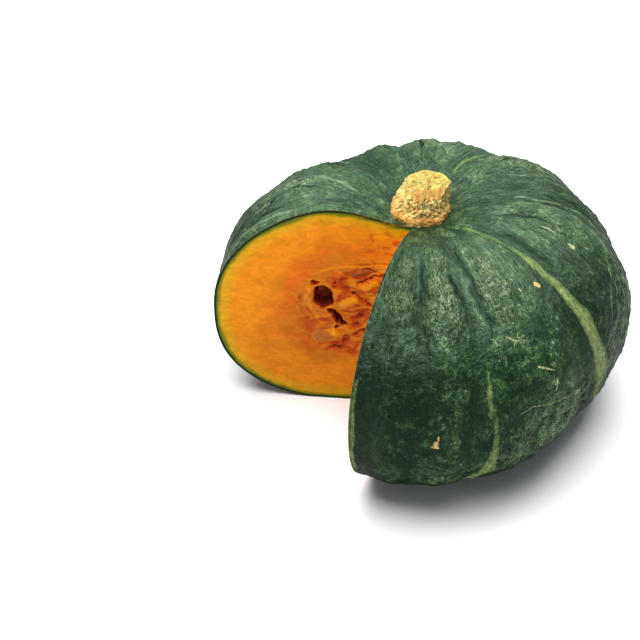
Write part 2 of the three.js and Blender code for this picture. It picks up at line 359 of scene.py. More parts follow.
# Healed scratches, pale: half width in mm, then (turn, fall) along each.
rindScratches = (
    (0.42, ((-58.3, 69.2), (-56.5, 70.6), (-54, 72.8), (-50.8, 75.2))),
    (0.28, ((-53.4, 82.6), (-52.4, 79), (-52.2, 75))),
    (0.14, ((-53, 70), (-52.3, 71.5), (-51.8, 73))),
    (0.16, ((-66, 55), (-63, 58), (-58, 59))), (0.1, ((-63, 58), (-64.4, 60.6))),
    (0.1, ((-63, 58), (-61, 56), (-59, 55.6))),
    (0.24, ((-16.1, 39), (-16, 36.4), (-17, 34), (-17.4, 32.6))),
    (0.7, ((-17.0, 44.4), (-16.8, 46.2), (-17.2, 48.2))),
    (0.2, ((-18.4, 46.6), (-16.6, 46.2), (-15.0, 46.6))), (0.3, ((-53.4, 43.6), (-52.2, 45.2))),
    (0.1, ((-66, 84), (-61, 83.4), (-56, 86), (-52, 87), (-47, 89), (-42, 91), (-38, 92), (-34, 91))),
    (0.12, ((-47, 89), (-42, 90.2), (-38, 92.6))),
    (0.14, ((-21, 70), (-20.4, 72))), (0.12, ((-12, 58), (-12.6, 60))),
    (0.25, ((62, 58), (64, 60), (65, 63))), (0.3, ((110, 70), (113, 71), (116, 70.5))),
    (0.25, ((142, 82), (143, 85))), (0.25, ((82, 95), (85, 96.5), (88, 96))),
)

# Corky scars, tan: half width, then (turn, fall) along each.
rindScars = (
    (0.9, ((-87.3, 89.4), (-87.5, 90.4))), (0.55, ((-88.3, 90.9), (-86.7, 90.6))),
    (0.55, ((-86.7, 86.6), (-86.9, 88.6))),
    (0.9, ((-44.6, 45.6), (-43.9, 46.6))), (0.35, ((-44.9, 44.2), (-44.2, 45.4))),
    (0.7, ((72, 64), (72.6, 65))), (0.6, ((134, 74), (134, 76))), (0.6, ((20, 104), (20.5, 106))),
)

# Places painted with shade (the furrows' dark sides and the front-left lobe that faces away from the light),
# lobes with a warty grain and places with a netted grain: turn, fall, half turn, half fall, strength.
paintedShadePlaces = ((-105, 61, 9, 18, 0.95), (-92, 68, 8, 16, 0.6), (-63, 78, 6, 12, 0.3))
wartyPlaces = ((-108, 44, 6, 19, 0.2), (-101, 36, 6, 13, 1.3), (-102, 54, 6, 12, 0.35), (-84, 37, 8, 14, 1.0),
               (-87, 36, 4, 5, 1.3), (-62, 40, 6, 13, 0.9), (-45, 30, 6, 9, 0.35),
               (-10, 34, 8, 10, 0.4), (17, 34, 7, 12, 0.35), (40, 42, 9, 14, 0.7), (66, 40, 8, 14, 0.5),
               (84, 38, 7, 13, 0.8), (104, 44, 7, 14, 0.6), (138, 42, 9, 16, 0.8), (161, 40, 7, 14, 0.4))
nettedPlaces = ((-40, 97, 24, 13, 1.0), (-8, 84, 12, 20, 0.7), (18, 78, 13, 22, 0.9), (42, 92, 14, 16, 0.6),
                (88, 100, 18, 12, 0.7), (140, 98, 20, 13, 0.8), (-84, 108, 16, 8, 0.5))


def wrapped(degrees):
    return (degrees + 180) % 360 - 180


def planRadius(turn):
    radius = squash["radius"] + 0 * turn
    for lobes, (cosine, sine) in enumerate(squash["planRound"], start=1):
        radius = radius + cosine * np.cos(np.radians(turn * lobes)) + sine * np.sin(np.radians(turn * lobes))
    return radius


def reachAt(fall):
    power = np.where(fall <= 90, squash["crownPower"], squash["basePower"])
    return np.abs(np.sin(np.radians(fall))) ** (2 / power)


def furrowDepth(turn, fall):
    depth = 0 * turn
    for at, deepest, width in squash["furrows"]:
        depth = depth + deepest * bell(wrapped(turn - at), width)
    fade = 1 - 0.7 * smooth(fall, 100, 150) - 0.3 * smooth(fall, 150, 175)
    return depth * smooth(fall, 4, 28) * fade


def alongRind(turn, fall, path):
    # from each place on the rind to a path of (turn, fall, ...): distance in mm, how far along it the
    # nearest part is, and the distance off that part's line, below 0 on its other side
    best = np.full(np.shape(turn), 99.0)
    place, side = np.zeros(np.shape(turn)), np.full(np.shape(turn), 99.0)
    acrossScale = np.radians(squash["radius"]) * reachAt(fall)
    downScale = np.radians(squash["downRadius"])
    for i, (a, b) in enumerate(zip(path[:-1], path[1:])):
        x = wrapped(turn - a[0]) * acrossScale
        y = (fall - a[1]) * downScale
        dx, dy = (b[0] - a[0]) * acrossScale, (b[1] - a[1]) * downScale
        long = np.hypot(dx, dy) + 1e-9
        t = np.clip((x * dx + y * dy) / long ** 2, 0, 1)
        gap = np.hypot(x - t * dx, y - t * dy)
        place = np.where(gap < best, i + t, place)
        side = np.where(gap < best, (x * dy - y * dx) / long, side)
        best = np.minimum(best, gap)
    return best, place, side


def wander(turn, fall):
    # where creases are drawn, they wander a little from side to side
    return turn + 0.9 * ripple(turn * 0.28, fall * 0.28, 37) + 0.4 * ripple(turn * 0.8, fall * 0.8, 39), fall


def linesDepth(turn, fall):
    depth = 0 * turn
    for deepest, width, path in rindLines:
        gap, place, _ = alongRind(*wander(turn, fall), path)
        end = len(path) - 1
        fade = smooth(place, -0.2, 0.9) * smooth(end - place, -0.2, min(1.6, end / 2))
        depth = depth + deepest * bell(gap, width) * fade
    return depth


def rindPoint(turn, fall):
    # millimetres about the stem axis
    above = fall <= 90
    power = np.where(above, squash["crownPower"], squash["basePower"])
    height = np.where(above, squash["crownHeight"], -squash["baseDepth"])
    deepest, width = (np.where(above, squash["crownHollow"][i], squash["baseHollow"][i]) for i in (0, 1))
    reach = reachAt(fall)
    dip = deepest * bell(reach * squash["radius"], width)
    rise = height * np.abs(np.cos(np.radians(fall))) ** (2 / power) - np.sign(height) * dip
    shrink = 1 - (furrowDepth(turn, fall) + linesDepth(turn, fall)) / squash["radius"]
    radius = planRadius(turn) * reach * shrink
    z = np.maximum(rise * shrink, -stemPlace.z / mm)
    angle = np.radians(turn)
    return np.stack([radius * np.cos(angle), radius * np.sin(angle), z], axis=-1)


def cutAxes(cut):
    # straight out along a cut, and straight off it into the notch
    angle = math.radians(squash[cut])
    out = np.array([math.cos(angle), math.sin(angle), 0.0])
    side = 1 if cut == "leftCut" else -1
    return out, np.array([-out[1], out[0], 0.0]) * side


notchPoint = np.array([*squash["notch"], 0.0])
notchTurn = math.degrees(math.atan2(notchPoint[1], notchPoint[0]))
notchRadius = float(np.hypot(notchPoint[0], notchPoint[1]))


def flatRadius(turn, fall):
    place = rindPoint(turn, fall)
    return np.hypot(place[..., 0], place[..., 1])


halvings = 45             # of each search, enough for far less than a micron


def crossing(isPast, low, high):
    # closes in on where isPast turns true between low and high
    low, high = np.asarray(low, float), np.asarray(high, float)
    for _ in range(halvings):
        middle = (low + high) / 2
        past = isPast(middle)
        high = np.where(past, middle, high)
        low = np.where(past, low, middle)
    return middle


def evenFalls(count):
    # falls that step evenly down the rind from the stem to the blossom end
    fine = np.linspace(0, 180, 4001)
    profile = rindPoint(np.full(fine.shape, 60.0), fine)
    steps = np.hypot(np.diff(np.hypot(profile[:, 0], profile[:, 1])), np.diff(profile[:, 2]))
    length = np.concatenate([[0], np.cumsum(steps)])
    return np.interp(np.linspace(0, length[-1], count), length, fine)


def fallAtNotch(low, high):
    # the fall at which the rind passes through the line where the two cuts meet
    def isInside(fall):
        return flatRadius(np.full(1, notchTurn), fall) < notchRadius
    start = isInside(np.array([low]))
    return float(crossing(lambda fall: isInside(fall) != start, [low], [high])[0])


def cutEdge(cut, falls):
    # where each row of the rind meets a cut: its turn
    out, _ = cutAxes(cut)

    def turnAt(distance):
        place = notchPoint + distance[:, None] * out
        return np.degrees(np.arctan2(place[:, 1], place[:, 0])), np.hypot(place[:, 0], place[:, 1])

    def isPast(distance):
        turn, radius = turnAt(distance)
        return radius > flatRadius(turn, falls)
    turn, _ = turnAt(crossing(isPast, np.zeros(falls.shape), np.full(falls.shape, 150.0)))
    return turn % 360 if cut == "leftCut" else turn


def cavityReach(height):
    radius, middle, half, power = squash["cavity"]
    return radius * (1 - np.clip(np.abs((height - middle) / half), 0, 1) ** power) ** (1 / power)


def cavityOutline(cut, angles):
    # on a cut, how far the cavity reaches from its middle height on the notch line, by angle
    along, across = (float(notchPoint @ axis) for axis in cutAxes(cut))
    middle = squash["cavity"][1]

    def isPast(reach):
        spread = np.hypot(along + reach * np.cos(angles), across)
        return spread > cavityReach(middle + reach * np.sin(angles))
    return crossing(isPast, np.zeros(angles.shape), np.full(angles.shape, 70.0))


# Hollows (rise below 0) and bulges: out, up, half long, half across, lean of the long side, rise,
# then how red, how pale and how filmed over it is, and the height of its lip.
cutSpots = {
    "leftCut": (
        (37.4, 9.2, 6.3, 4.5, 84, -9, 1, 0, 0, 0.5),
        (40.9, 16.2, 2.6, 1.1, 148, -1.7, 0.75, 0, 0.1, 0.3),
        (33.3, 0.6, 2.6, 1.9, 62, -5, 1, 0, 0.1, 0.4),
        (31.2, -2.3, 3, 2.2, 50, -5.8, 1, 0, 0.1, 0.4),
        (28.5, -4.6, 2.1, 1.1, 38, -3.6, 1, 0, 0.1, 0.3),
        (31, -6.7, 1.7, 0.6, 120, -1.6, 1, 0, 0, 0.2),
        (28.9, 19.4, 3.9, 3.1, 100, 0.5, 0.8, 0, 0.15, 0),
        (27.6, 20.6, 1.5, 1.1, 60, 0.5, 0.2, 0.3, 0.3, 0),
        (19.6, 22.9, 8.6, 2.9, 163, -0.9, 0.35, 0, 0.85, 0),
        (18, 15.6, 5.6, 2.1, 162, 0.9, 0, 1, 0, 0),
        (26, 6.7, 7.2, 3.1, 156, 0.9, 0, 1, 0, 0),
        (31.5, 12.6, 3, 2.4, 120, 0.4, 0.1, 0.6, 0, 0),
        (21.2, -0.9, 5.6, 2.3, 149, -0.9, 0.95, 0, 0.1, 0),
        (22.8, -5.6, 4.4, 2.6, 150, -0.7, 0.85, 0, 0.15, 0),
        (16, -3.6, 4.2, 1.5, 150, 0.7, 0.1, 0.7, 0, 0),
        (36.9, -3.5, 2.9, 1.4, 165, -0.6, 0.75, 0, 0, 0),
        (41.6, -6.6, 4.6, 3, 120, -0.3, 0.5, 0, 0.1, 0),
        (38.4, -12.2, 4.6, 4.1, 60, -0.35, 0, 0.35, 0.45, 0),
        (32.3, -10.9, 3.1, 2.4, 160, 1, 0, 1, 0, 0),
        (32.9, -19.1, 3.9, 1.7, 165, -0.9, 0.95, 0, 0, 0),
        (26.6, -14.4, 3.4, 2.5, 100, -0.9, 0.95, 0, 0.1, 0),
        (24.6, -20.4, 3, 2.4, 60, -0.6, 0.7, 0, 0, 0),
        (40.5, -19.8, 4.2, 1.6, 150, -0.3, 0.45, 0, 0, 0),
        (47.9, 6.8, 4.2, 1.1, 112, -0.25, 0.2, 0, 0.4, 0),
        (45.3, -0.8, 3.8, 0.9, 66, -0.25, 0.25, 0, 0.4, 0),
        (44.4, -3.4, 1.2, 0.6, 110, -0.9, 0.85, 0, 0, 0),
        (47.8, 7.6, 0.9, 0.5, 150, -0.6, 0.7, 0, 0, 0),
        (32.3, 16.9, 1.1, 0.5, 140, -0.9, 1, 0, 0, 0),
        (12, 9.5, 6, 2, 170, 0.6, 0.1, 0.6, 0, 0),
        (10.5, -8, 6, 2.4, 15, -0.6, 0.8, 0, 0, 0),
        (44.6, -5, 3.6, 2.2, 60, -0.2, 0.35, 0, 0.35, 0),
        (44.8, -17.6, 4, 3, 60, -0.2, 0.4, 0, 0.55, 0),
        (43, -8.8, 4.6, 3.4, 60, -0.2, 0.5, 0, 0.5, 0),
        (30.6, -18.4, 3.4, 1.9, 165, -0.4, 0.95, 0, 0, 0),
        (29.6, -17.6, 4.2, 1.6, 20, -0.4, 0.7, 0, 0.2, 0),
        (37.6, -8.4, 3.4, 1.2, 165, -0.2, 0.45, 0, 0.3, 0),
        (19.9, 1, 4.4, 1.8, 150, -0.4, 0.75, 0, 0.2, 0),
        (12, -15, 5.5, 2.2, 30, 0.5, 0.2, 0.5, 0, 0),
    ),
    "frontCut": (
        (34.5, 10, 6.6, 3.8, 60, -7, 1, 0, 0, 0.6),
        (20, 1, 5.4, 3.2, 30, -6, 1, 0, 0, 0.5),
        (20, -19, 5.8, 2.4, -15, -5, 1, 0, 0.1, 0.4),
        (16.5, 20, 4.8, 2.6, -25, -5, 1, 0, 0.1, 0.4),
        (39, -1.5, 2.6, 6.5, 10, -0.6, 0.7, 0, 0.1, 0),
        (27, 20, 7.5, 2.2, 170, 0.6, 0.2, 0.8, 0, 0),
        (12, 2, 3, 6, 20, 0.5, 0.3, 0.5, 0, 0),
        (33, -9, 6.5, 2.6, 150, 0.7, 0, 0.9, 0, 0),
        (26, -6.6, 3.6, 1.8, 160, -0.6, 0.9, 0, 0, 0),
        (36, -17.5, 5.5, 2.2, 130, 0.5, 0.3, 0.6, 0, 0),
        (20.5, 12.2, 3.4, 2, 60, -0.7, 0.8, 0, 0, 0),
    ),
}
holeRise = -1.5           # a hollow deeper than this is an open hole
strandCentre = (-16, 5)   # out and up, where the strands of the pulp fan out from

# Creases and strands: rise, half width, how red, how pale, then (out, up) along each.
cutLines = {
    "leftCut": (
        (-2, 0.55, 1, 0, ((22.4, 17), (19.8, 18), (17.6, 18.9), (14.7, 20.6), (11.8, 22), (7, 23.4))),
        (-0.7, 0.5, 0.45, 0, ((43.8, 22.9), (40.6, 23.9), (36.8, 24.9), (30.1, 26.6), (26, 27.2),
                              (20.2, 27.5), (13.7, 28.3), (8, 27.6))),
        (0.25, 0.8, 0, 0.3, ((40.2, 21.6), (36.8, 23.1), (30.8, 24.8), (24.3, 25.7), (14.7, 26),
                             (9, 24.9))),
        (-0.4, 1.2, 0.6, 0, ((28.8, 15.4), (25.4, 12.9), (22, 10), (19, 8))),
        (-1.2, 0.5, 1, 0, ((24.4, 11.4), (21.1, 8.6), (18.6, 7), (16.2, 5.8), (11.5, 3.2))),
        (-0.5, 0.4, 0.6, 0, ((30, 14.4), (26, 12), (22.6, 11.2), (17.6, 10.4), (12, 10.4))),
        (-1.1, 0.5, 1, 0, ((23.8, -10.9), (22.1, -10), (19.7, -8.2), (16, -7.4))),
        (-0.3, 0.7, 0.25, 0, ((45.8, 9.6), (46.7, 6.4), (45.8, 2.6), (44.6, -0.7))),
        (0.35, 0.7, 0, 0.6, ((44, 13.5), (44.4, 8.5), (42.8, 3.5), (40, -0.8), (36.2, -1.2))),
        (-0.4, 0.8, 0.5, 0, ((44.4, -7.3), (41, -4.9), (37.4, -5.9), (34, -7.2))),
        (0.5, 0.4, 0, 0.8, ((35.4, 2.6), (33.6, -0.7), (30.4, -0.6))),
        (-0.25, 0.32, 0.5, 0, ((51.8, 9.6), (49.6, 6.4), (48.8, 2.4), (47.2, -0.6))),
        (0.25, 0.34, 0, 0.7, ((50.8, 10.6), (48.8, 6.9), (47.8, 3), (46.4, 0.2))),
        (-0.25, 0.3, 0.5, 0, ((50.6, -1.2), (48, -3.6), (46.4, -7))),
        (0.4, 0.35, 0, 0.7, ((33.4, -4), (30.2, -3.4), (28.4, -1.8))),
        (-0.45, 0.5, 0.55, 0, ((43.5, -12.5), (42.6, -15.5), (40.2, -17.2), (37.3, -17.9), (34, -17),
                               (31.2, -15.3))),
        (0.3, 0.45, 0, 0.5, ((27.4, -9.4), (22.5, -7.6), (17.5, -5.8), (12, -5))),
        (-0.5, 0.4, 0.7, 0, ((28.5, 2), (24, 1.2), (19.5, 2.6), (14, 2.2))),
        (0.3, 0.35, 0, 0.5, ((27, 9.6), (22, 7), (18, 4.4), (13, 2))),
        (-0.3, 0.4, 0.6, 0, ((24, 13.4), (20, 12.6), (15.5, 12.6), (10, 12.8))),
        (-0.4, 0.35, 0.6, 0, ((28.6, -17), (25.2, -18.2), (23.6, -23.6))),
        # fibres in the flesh above the cavity and beside the stem
        (-0.15, 0.5, 0.3, 0, ((29, 29.6), (23, 30), (17.3, 30.2), (11.5, 29.8))),
        (-0.12, 0.7, 0.35, 0, ((24, 33.4), (19, 34.2), (15, 33.6), (11, 32.6))),
        (-0.15, 0.8, 0.45, 0, ((23, 36.4), (19.5, 37.2), (14.5, 36.8), (9.3, 38.4), (6.3, 40.4))),
        (-0.2, 0.5, 0.4, 0, ((16.2, 44.4), (17, 42.4), (16.2, 40))),
        (0.25, 0.9, 0, 0.8, ((14.6, 42.8), (13.8, 41))),
        (-0.1, 0.6, 0.25, 0, ((52, 21), (46.5, 24.6), (40, 26.6), (34.3, 28.5), (27, 29.6))),
        (-0.1, 0.6, 0.25, 0, ((50, -27), (42, -31), (33, -33.2), (24, -34.6), (14, -34))),
    ),
    "frontCut": (
        (0.5, 0.6, 0, 0.8, ((44, 21), (36, 24), (27, 25.4), (18, 26), (9, 25.4))),
        (-0.45, 0.35, 0.5, 0, ((45, 22.6), (36, 25.4), (27, 26.8), (18, 27.2), (9, 26.4))),
        (-0.9, 0.5, 1, 0, ((34, 18), (29, 16.6), (23, 17), (18, 15.6), (12, 16.4))),
        (-0.8, 0.5, 0.9, 0, ((40.5, 6), (38.5, -2), (40, -10))),
        (0.45, 0.5, 0, 0.8, ((29, 5.6), (24, 5), (18.5, 5.8), (13, 6.8), (7, 6.6))),
        (-0.6, 0.45, 0.8, 0, ((32, -6), (25, -7.6), (19.5, -7), (12, -4))),
        (0.4, 0.5, 0, 0.8, ((31, -12.5), (24, -11), (18, -12.4), (10, -14))),
        (-0.6, 0.4, 0.9, 0, ((34, -20.5), (27, -22), (20, -22.6), (12, -20))),
        (-0.35, 0.5, 0.25, 0, ((47, 11), (48.4, 4), (47.2, -5), (45, -13))),
        (-0.12, 0.3, 0.4, 0, ((34, 30), (27, 30.6), (19, 31.4), (12, 31))),
        (-0.12, 0.3, 0.45, 0, ((22, 34), (16, 35.4), (10, 38), (6, 42))),
        (-0.12, 0.4, 0.6, 0, ((14, 43), (11.5, 40.5), (8.5, 42.5), (4.5, 45))),
        (-0.1, 0.3, 0.3, 0, ((46, -28), (37, -32), (27, -34), (16, -34.6))),
    ),
}


def alongCut(out, up, path):
    # distance in mm from places on a cut to a path of (out, up)
    best = np.full(np.shape(out), 99.0)
    for (ax, ay), (bx, by) in zip(path[:-1], path[1:]):
        dx, dy = bx - ax, by - ay
        t = np.clip(((out - ax) * dx + (up - ay) * dy) / (dx * dx + dy * dy), 0, 1)
        best = np.minimum(best, np.hypot(out - ax - t * dx, up - ay - t * dy))
    return best


def cutDetail(cut, plainOut, plainUp, insidePulp):
    # relief in mm off the cut, and the tint: how red, how pale, how filmed over
    def grained(scale, seed, tall=1):
        return layers(plainOut * scale, plainUp * scale * tall, seed)

    def bent(value, seed):
        # all that shows is bent a little, so that no edge is a plain oval or a ruled line
        return value + 0.9 * ripple(plainOut * 0.33, plainUp * 0.33, seed) + 0.3 * grained(0.8, seed + 4)
    out, up = bent(plainOut, 51), bent(plainUp, 61)
    grain, patches = grained(0.8, 71), grained(0.19, 81)
    # the ground: strands that fan out from beside the stem axis
    fanOut, fanUp = out - strandCentre[0], up - strandCentre[1]
    fanAngle, fanLength = np.arctan2(fanUp, fanOut), np.hypot(fanOut, fanUp)
    strands = (0.7 * layers(fanAngle * 30, fanLength * 0.12, 3)
               + 0.4 * layers(fanAngle * 62, fanLength * 0.2, 5))
    ground = smooth(insidePulp, 0.0, 7.0)
    relief = ground * (0.24 * strands + 0.1 * grain)
    red = ground * np.clip(0.1 + 0.8 * strands + 0.8 * patches, 0, 0.75)
    pale = ground * np.clip(0.1 - 0.9 * strands - 0.8 * patches + 0.4 * grain, 0, 0.85)
    film = ground * np.clip(0.35 * grained(0.3, 91), 0, 1)
    # the flesh is grainy and redder where it thins beside the stem
    besideStem = smooth(plainUp, 24, 34) * (1 - smooth(plainOut, 14, 28))
    relief = relief + 0.3 * besideStem * grain
    red = red + besideStem * np.clip(0.12 + 0.7 * grained(0.3, 95, 2), 0, 0.42)
    pale = pale + besideStem * np.clip(0.9 * grain, 0, 0.7)
    broken = 0.45 + 0.55 * smooth(grained(0.45, 23), -0.3, 0.15)
    for rise, width, redness, paleness, path in cutLines[cut]:
        gap = alongCut(out, up, path)
        relief = relief + rise * bell(gap, width) * broken
        share = bell(gap, width * 1.5) * broken
        red = mixed(red, redness, share * redness) * (1 - paleness * share)
        pale = np.maximum(pale * (1 - redness * share), paleness * share)
    hollow = 0 * out
    for x, y, long, across, lean, rise, redness, paleness, filmed, lip in cutSpots[cut]:
        cosine, sine = math.cos(math.radians(lean)), math.sin(math.radians(lean))
        along = (out - x) * cosine + (up - y) * sine
        aside = -(out - x) * sine + (up - y) * cosine
        q = np.hypot(along / long, aside / across) * (1 + 0.09 * ripple(out * 0.33 + x, up * 0.33 + y, 29))
        if rise < holeRise:
            floorRipple = 1 + 0.18 * layers(out * 0.35, up * 0.35, 31)
            hollow = np.minimum(hollow, rise * (1 - smooth(q, 0.5, 1.04)) * floorRipple)
            relief = relief * smooth(q, 0.8, 1.6) + lip * bell(q - 1.22, 0.2)
            red = np.maximum(red * smooth(q, 1.0, 1.5), redness * (1 - smooth(q, 0.9, 1.08)))
            pale = np.maximum(pale, 0.45 * bell(q - 1.2, 0.2)) * smooth(q, 0.95, 1.1)
            film = np.maximum(film, 0.35 * bell(q - 1.2, 0.18))
        else:
            body = 1 - smooth(q + 0.3 * grain, 0.2, 1.15)
            relief = relief * (1 - 0.4 * body) + rise * (1 - smooth(q, 0.2, 1.15))
            patchy = np.clip(1 + 0.6 * grain, 0, 1)
            red = mixed(red, redness * patchy, body)
            pale = mixed(pale, paleness * patchy, body)
            film = mixed(film, filmed, body)
    return (relief + hollow) * smooth(plainOut, 0.0, 3.0), np.stack([red, pale, film], axis=-1)


class Sheets:
    # gathers grids of points with their attributes into one mesh
    def __init__(self):
        self.points, self.faces, self.values, self.surfaces, self.sheets = [], [], {}, [], []
        self.count = 0

    def addGrid(self, grid, surface, closed=False, **values):
        rows, columns = grid.shape[:2]
        index = np.arange(rows * columns).reshape(rows, columns) + self.count
        if closed:
            index = np.concatenate([index, index[:, :1]], axis=1)
        corners = [index[:-1, :-1], index[:-1, 1:], index[1:, 1:], index[1:, :-1]]
        quads = np.stack(corners, axis=-1).reshape(-1, 4)
        self.faces.append(quads)
        self.surfaces.append(np.full(len(quads), surface))
        self.sheets.append(np.full(len(quads), len(self.sheets)))
        self.points.append(grid.reshape(-1, 3))
        for name, value in values.items():
            if np.ndim(value) < 3:
                value = np.broadcast_to(value, (rows, columns)).reshape(-1)
            else:
                value = value.reshape(rows * columns, value.shape[-1])
            self.values.setdefault(name, []).append((self.count, value))
        self.count += rows * columns

    def build(self, name, materials, sharpDegrees=38, weld=2e-6):
        mesh = bpy.data.meshes.new(name)
        places = np.concatenate(self.points) * mm + np.array(stemPlace)
        mesh.from_pydata(places.tolist(), [], np.concatenate(self.faces).tolist())
        mesh.polygons.foreach_set("material_index", np.concatenate(self.surfaces).astype(np.int32))
        for label, parts in self.values.items():
            wide = parts[0][1].ndim > 1
            data = np.zeros((self.count, 4) if wide else self.count, np.float32)
            if wide:
                data[:, 3] = 1
            for start, part in parts:
                if wide:
                    data[start:start + len(part), :3] = part
                else:
                    data[start:start + len(part)] = part
            attribute = mesh.attributes.new(label, "FLOAT_COLOR" if wide else "FLOAT", "POINT")
            attribute.data.foreach_set("color" if wide else "value", data.ravel())
        for material in materials:
            mesh.materials.append(material)
        mesh.attributes.new("sheet", "INT", "FACE").data.foreach_set(
            "value", np.concatenate(self.sheets).astype(np.int32))
        shape = bmesh.new()
        shape.from_mesh(mesh)
        sheet = shape.faces.layers.int["sheet"]
        bmesh.ops.remove_doubles(shape, verts=shape.verts, dist=weld)
        bmesh.ops.dissolve_degenerate(shape, edges=shape.edges, dist=1e-7)
        bmesh.ops.recalc_face_normals(shape, faces=shape.faces)
        limit = math.radians(sharpDegrees)
        for face in shape.faces:
            face.smooth = True
        for edge in shape.edges:
            twoSheets = len(edge.link_faces) == 2 and edge.link_faces[0][sheet] != edge.link_faces[1][sheet]
            edge.smooth = not (twoSheets and edge.calc_face_angle(0) > limit)
        openEdges = sum(1 for edge in shape.edges if len(edge.link_faces) != 2)
        shape.to_mesh(mesh)
        shape.free()
        mesh.attributes.remove(mesh.attributes["sheet"])
        piece = bpy.data.objects.new(name, mesh)
        scene.collection.objects.link(piece)
        print(f"{name}: {len(mesh.polygons)} faces, {openEdges} open edges")
        return piece


fleshColours = {
    "skinLine": rgb(24, 50, 18), "green": rgb(118, 132, 24), "yellow": rgb(228, 170, 20),
    "orange": rgb(243, 148, 18), "deep": rgb(226, 112, 14), "inner": rgb(200, 110, 14),
    "ochre": rgb(208, 126, 14), "wet": rgb(98, 28, 12), "flush": rgb(184, 70, 18),
    "pale": rgb(232, 156, 22), "film": rgb(158, 78, 32),
    # these three are multiplied over the colours; ground is painted shade that darkens the cut's lower part
    "fibreDark": (0.83, 0.79, 0.60, 1), "fibreLight": (1.07, 1.09, 1.12, 1), "ground": (0.47, 0.45, 0.50, 1),
    "gloss": (1.0, 0.74, 0.42, 1),
}
fleshLook = {"mottleScale": 90.0, "wetness": 0.5, "bump": 0.00025, "gloss": 0.15}
pulpLook = {"mottleScale": 260.0, "wetness": 1.0, "bump": 0.0005, "gloss": 0.2}


def makeFleshTone():
    # the colour, gloss and grain of cut squash by its distance from the skin and its tint
    nodes, entry = newGroup(
        "fleshTone", "ShaderNodeTree",
        {"Vector": "Vector", "Rind Depth": 10.0, "Tint": "Color", "Mottle Scale": 90.0, "Wetness": 0.5},
        {"Color": "Color", "Roughness": "Float", "Height": "Float"})
    vector, depth = entry["Vector"], entry["Rind Depth"]
    red, pale, film = nodes.parts(entry["Tint"])
    large = nodes.noise(vector, 38, 4, 0.6, 0.5)
    middle = nodes.noise(vector, entry["Mottle Scale"], 5, 0.62)
    fine = nodes.noise(vector, 900, 3, 0.6)
    # long fibres lie level, so they are drawn out sideways
    fibres = nodes.noise(nodes.mapped(vector, (1.0, 1.0, 1.9)), 175, 6, 0.72, 0.8)
    # green and yellow just under the skin, with an uneven edge
    softDepth = depth + (middle * 4.6 - 2.3) * depth.ramp(0.3, 3.0)
    toGreen = softDepth.ramp(0.7, 1.6)
    colour = nodes.mix(toGreen, fleshColours["skinLine"], fleshColours["green"])
    colour = nodes.mix(softDepth.ramp(1.5, 3.3), colour, fleshColours["yellow"])
    colour = nodes.mix(softDepth.ramp(3.6, 9.5), colour, fleshColours["orange"])
    deepTone = nodes.mix(middle.ramp(0.4, 0.62), fleshColours["deep"], fleshColours["ochre"])
    toDeep = (depth + (large * 70.0 - 35.0)).ramp(13.0, 34.0)
    colour = nodes.mix(toDeep, colour, deepTone)
    colour = nodes.mix(depth.ramp(27.0, 42.0, 0.0, 0.7), colour, fleshColours["inner"])
    shade = nodes.mix(fibres.ramp(0.34, 0.68), fleshColours["fibreDark"], fleshColours["fibreLight"])
    colour = nodes.mix(toGreen, colour, nodes.mix(1.0, colour, shade, "MULTIPLY"))
    # painted shade: the cut darkens towards the ground side, standing in for shade on its lower part
    paintedShadeLow = nodes.out("ShaderNodeSeparateXYZ", 2, in_0=vector).ramp(0.008, 0.075, 0.5, 0.0)
    colour = nodes.mix(paintedShadeLow, colour, nodes.mix(1.0, colour, fleshColours["ground"], "MULTIPLY"))
    # the tint goes on in blotches
    blotch = middle.ramp(0.3, 0.7, 0.7, 1.15)
    redShare = nodes.maths("MULTIPLY", red * depth.ramp(1.5, 5.5), blotch, clamp=True)
    for share, tone in ((nodes.maths("MULTIPLY", pale, 0.85, clamp=True), "pale"),
                        (nodes.maths("MULTIPLY", film, blotch, clamp=True), "film"),
                        (redShare.ramp(0.0, 0.6), "flush"), (redShare.ramp(0.45, 1.0), "wet")):
        colour = nodes.mix(share, colour, fleshColours[tone])
    gloss = nodes.maths("MAXIMUM", red, film) * entry["Wetness"] * 0.35
    roughness = nodes.maths("SUBTRACT", fine * 0.16 + 0.36, gloss, clamp=True)
    return nodes.leave(Color=colour, Roughness=roughness, Height=fibres * 0.7 + fine * 0.3)


def makeFleshMaterial(name, fleshTone, look):
    material, nodes = newMaterial(name)
    colour, roughness, height = nodes.outs(nodes.add(
        "ShaderNodeGroup", node_tree=fleshTone, in_Vector=nodes.out("ShaderNodeTexCoord", "Object"),
        in_Rind_Depth=nodes.attribute("rindDepth"), in_Tint=nodes.attribute("cutTint", "Color"),
        in_Mottle_Scale=look["mottleScale"], in_Wetness=look["wetness"]))
    nodes.dress(Base_Color=colour, Roughness=roughness, Normal=nodes.bump(height, 0.6, look["bump"]),
                Specular_IOR_Level=look["gloss"], Specular_Tint=fleshColours["gloss"])
    return material


rindColours = {
    "dark": rgb(8, 31, 14), "leaf": rgb(22, 57, 26), "grass": rgb(70, 101, 54), "sheenBloom": rgb(84, 110, 82),
    "speck": rgb(156, 170, 134), "stripe": rgb(142, 152, 92), "stripeDeep": rgb(92, 114, 60),
    "lip": rgb(146, 146, 92), "scratch": rgb(190, 196, 140), "scar": rgb(218, 182, 110),
    "net": rgb(112, 132, 100), "furrow": rgb(8, 31, 13), "ridgeHighlight": rgb(126, 150, 116),
    "gloss": (0.66, 1.0, 0.72, 1),
}
# how deep the fine grain of the rind is, in metres
rindBump = {"pebbles": 0.00058, "wrinkles": 0.0007, "warts": 0.0055, "streaks": 0.00008, "net": 0.00025}
# Flecks: scale, colour, strength, how many more than the plain cover, and a shift that sets them apart.
rindFlecks = ((260, "grass", 0.45, 0.18, 0.6), (620, "grass", 0.7, 0.08, 0.7),
              (620, "speck", 0.46, -0.08, 0.8), (1300, "speck", 0.6, -0.05, 0.9))


